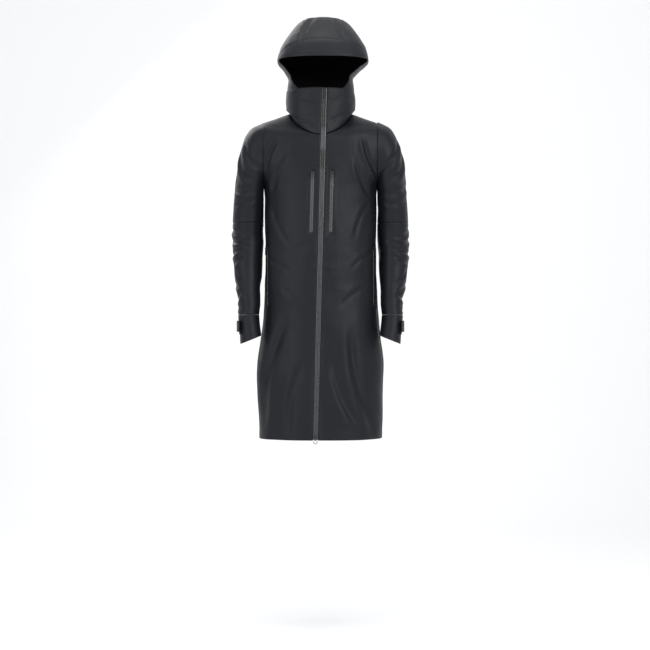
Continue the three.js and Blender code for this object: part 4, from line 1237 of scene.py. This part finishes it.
# %% [markdown]
# Behind the main zip lies a storm flap, which stops the wind that the coil lets by, and at its top a
# soft chin guard keeps the slider off the skin. Pocket bags hang behind the pocket zips. A label and a
# loop of webbing sit inside the collar. They hardly show, but an opened or turned coat has them.

# %% Flap, guard, bags and label
flap_line = dict(ZIPS["main"])
flap_line["length"] = (-90 - HEM_Z) * MM / flap_line["along"][2]
flap_across = np.array([-16, -15.6, -10, -4, 2, 7.4, 9.4, 11, 14, 17.0])
flap_inward = np.array([5.4, 5.2, 5.2, 5.2, 5.2, 5.2, 4.0, 3.6, 3.5, 3.5])
flap = strip("storm_flap_cloth", flap_line, flap_across, flap_inward, (lining_cloth, lining_cloth), 1.1,
             ends=(2.0, 0.0))
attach(flap, "root")
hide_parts("storm_flap")


def inner_sheet(name, place, limits, keys, columns, depth, cloths, wall):
    """A sheet that lies behind the shell, at a fixed depth along its normal."""
    folds = lambda points, angle: -depth + 0.5 * lattice_noise(points, 26, 91) - 0.6
    return cloth_sheet(name, place, limits, keys, columns, folds, cloths, (0, 0, 0, 0), wall)


def between_x(rows, inner, outer, side):
    """Limits that run from one x to another on the front, mirrored for the right side."""
    def limits(keys):
        first = angle_at_x(rows, keys, np.full_like(keys, side * inner))
        last = angle_at_x(rows, keys, np.full_like(keys, side * outer))
        return (first, last) if side > 0 else (last, first)
    return limits


guard = inner_sheet(
    "chin_guard_cloth", collar_place,
    lambda keys: (angle_at_x(COLLAR_ROWS, keys, np.full_like(keys, 22.0)),
                  np.radians(np.full_like(keys, -40.0))),
    np.linspace(20.5, 61.5, 24), 30, 5.0, (pile_cloth, pile_cloth), 1.0)
label = inner_sheet(
    "neck_label_cloth", collar_place,
    lambda keys: (np.radians(np.full_like(keys, 80.5)), np.radians(np.full_like(keys, 99.5))),
    np.linspace(16.5, 37.5, 16), 24, 3.8, (label_satin, label_satin), 0.5)
for piece, node, slot in ((guard, "chin_guard", "lining"), (label, "neck_label", "label")):
    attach(piece, "root")
    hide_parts(node)

BAGS = {"chest": (20.5, 104.0, -369.0, -206.0), "hand": (64.0, 168.0, -595.0, -439.0)}
for side_name, sign in (("left", 1), ("right", -1)):
    for pocket, (inner, outer, low, high) in BAGS.items():
        lean = zip_x(-280.0) * sign if pocket == "chest" else 0
        bag = inner_sheet(f"{pocket}_bag_{side_name}", body_place,
                          between_x(BODY_ROWS, inner + lean, outer, sign),
                          np.linspace(low, high, 40), 30, 6.0, (lining_cloth, lining_cloth), 2.0)
        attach(bag, "root")
        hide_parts(f"{pocket}_pocket_bag_{side_name}")
print("inner cloths", [name for name in CUTS if "bag" in name or "guard" in name])

# %% [markdown]
# Each cuff closes with a stiff tab that wraps over a patch of loop fabric. The tab is laminated cloth
# round a plastic core, so it keeps its own gentle curve. It turns about its sewn end. Its corners are
# cut round, so that they don't catch when a glove goes over.

# %% Cuff tabs and loop patches
TAB_LENGTH, TAB_HALF, TAB_LEAN, TAB_CORNER, TAB_CURVE = 46.0, 17.5, math.radians(12), 7.0, 62.0


def cuff_tab(side_name, side):
    """s runs from the sewn end and t across: the width closes by a quarter circle at the free end.

    The tab bends in towards the wrist by s^2 / (2 * its radius), and its sewn end dips to the cuff."""
    low, high = [np.array(corner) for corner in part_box(f"cuff_tab_{side_name}")]
    hinge = np.array([low[0] if side > 0 else high[0], high[1] - 0.0004, (low[2] + high[2]) / 2])
    s = np.concatenate([np.linspace(0, TAB_LENGTH - TAB_CORNER, 30),
                        TAB_LENGTH - TAB_CORNER + TAB_CORNER * np.sin(np.linspace(0, math.pi / 2, 12))[1:]])
    past = np.maximum(s - (TAB_LENGTH - TAB_CORNER), 0)
    half = TAB_HALF - TAB_CORNER + np.sqrt(np.maximum(TAB_CORNER**2 - past**2, 0.05))
    t = np.linspace(-1, 1, 40)
    across = t[:, None] * half[None, :]
    run = np.broadcast_to(s[None, :], across.shape)
    rim = np.minimum(TAB_HALF - np.abs(across), TAB_LENGTH - run)
    puff = 0.45 * np.sin(math.pi * run / TAB_LENGTH) - 0.5 * np.exp(-((rim / 0.9) ** 2))
    stitch_line = -0.25 * np.exp(-(((rim - 3.2) / 0.5) ** 2))
    forward = np.array([side * math.sin(TAB_LEAN), -math.cos(TAB_LEAN), 0])
    outward = np.array([side * math.cos(TAB_LEAN), math.sin(TAB_LEAN), 0])
    points = (hinge - NECK) / MM + run[..., None] * forward + across[..., None] * np.array([0, 0, 1.0])
    bend = -(run**2) / (2 * TAB_CURVE) - 2.2 * (1 - smooth_step(run, 0, 7))
    points = points + (1.9 + puff + stitch_line + bend)[..., None] * outward
    if side < 0:
        points = points[::-1]
    points = points[::-1]
    name = f"cuff_tab_cloth_{side_name}"
    CUTS[name] = cut_size(points)
    tab = grid_mesh(name, points * MM, materials=(shell_cloth, pile_cloth),
                    values={"edge": 0.5 * np.exp(-((rim / 1.6) ** 2))})
    return thicken(tab, 1.7 * MM), hinge, forward, outward


def loop_patch(side_name, side):
    keys = np.linspace(13.28, 13.70, 20)
    angle = side * np.linspace(-0.08, 0.92, 28)
    angle, key = np.meshgrid(angle[::side], keys)
    points = sleeve_place(side, angle, key)
    points = points + normals_of(points) * 1.5
    name = f"loop_patch_{side_name}"
    CUTS[name] = cut_size(points)
    return thicken(grid_mesh(name, points * MM, materials=(pile_cloth,)), 0.7 * MM, inside=False)


TABS = {}
for side_name, sign in (("left", 1), ("right", -1)):
    tab, *TABS[side_name] = cuff_tab(side_name, sign)
    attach(tab, f"cuff_tab_body_{side_name}")
    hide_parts(f"cuff_tab_{side_name}")
    patch = loop_patch(side_name, sign)
    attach(patch, f"forearm_body_{side_name}")
    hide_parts(f"cuff_loop_patch_{side_name}")
print("tabs", list(TABS))

# %% [markdown]
# The sliders and their pulls come from the frame as they are: painted metal sliders, plain moulded
# pulls, and one ring at the hem. Here they only get their finishes. The cord lock at the back of the
# hood is moulded too, so it gets a rounded form instead of its plain block.

# %% Sliders, pulls and the hood's adjuster
METAL = [f"{zip_name}_slider" for zip_name in
         ("main_upper", "main_lower", "chest_left", "chest_right", "hand_left", "hand_right")]
FINISHES = {node: slider_metal for node in METAL + ["main_lower_pull"]}
FINISHES.update({node.replace("slider", "pull"): pull_rubber for node in METAL if "lower" not in node})
FINISHES["hanger_loop"] = webbing
for node, finish in FINISHES.items():
    mesh = frame["nodes"][node].data
    mesh.materials.clear()
    mesh.materials.append(finish)


def moulded_block(name, node, material, roundness=0.35):
    """A rounded block: each coordinate is sign(c) |c|^e of a sphere's, scaled to the node's box."""
    low, high = [np.array(corner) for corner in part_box(node)]
    turn = np.linspace(0, 2 * math.pi, 48, endpoint=False)[None, :]
    rise = np.linspace(-math.pi / 2 + 0.02, math.pi / 2 - 0.02, 26)[:, None]
    power = lambda value: np.sign(value) * np.abs(value) ** roundness
    unit = np.stack(np.broadcast_arrays(
        power(np.cos(rise)) * power(np.cos(turn)), power(np.cos(rise)) * power(np.sin(turn)),
        power(np.sin(rise))), -1)
    rib = 1 - 0.05 * np.cos(14 * unit[..., 2:]) * (np.abs(unit[..., :1]) < 0.8)
    unit[..., 1:2] *= rib
    points = (low + high) / 2 - NECK + unit * (high - low) / 2
    points[0], points[-1] = points[0].mean(axis=0), points[-1].mean(axis=0)
    return grid_mesh(name, points, loop=True, materials=(material,))


adjuster = moulded_block("hood_cord_lock", "hood_adjuster", pull_rubber)
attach(adjuster, "hood_body")
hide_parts("hood_adjuster")
print("finished nodes", len(FINISHES))
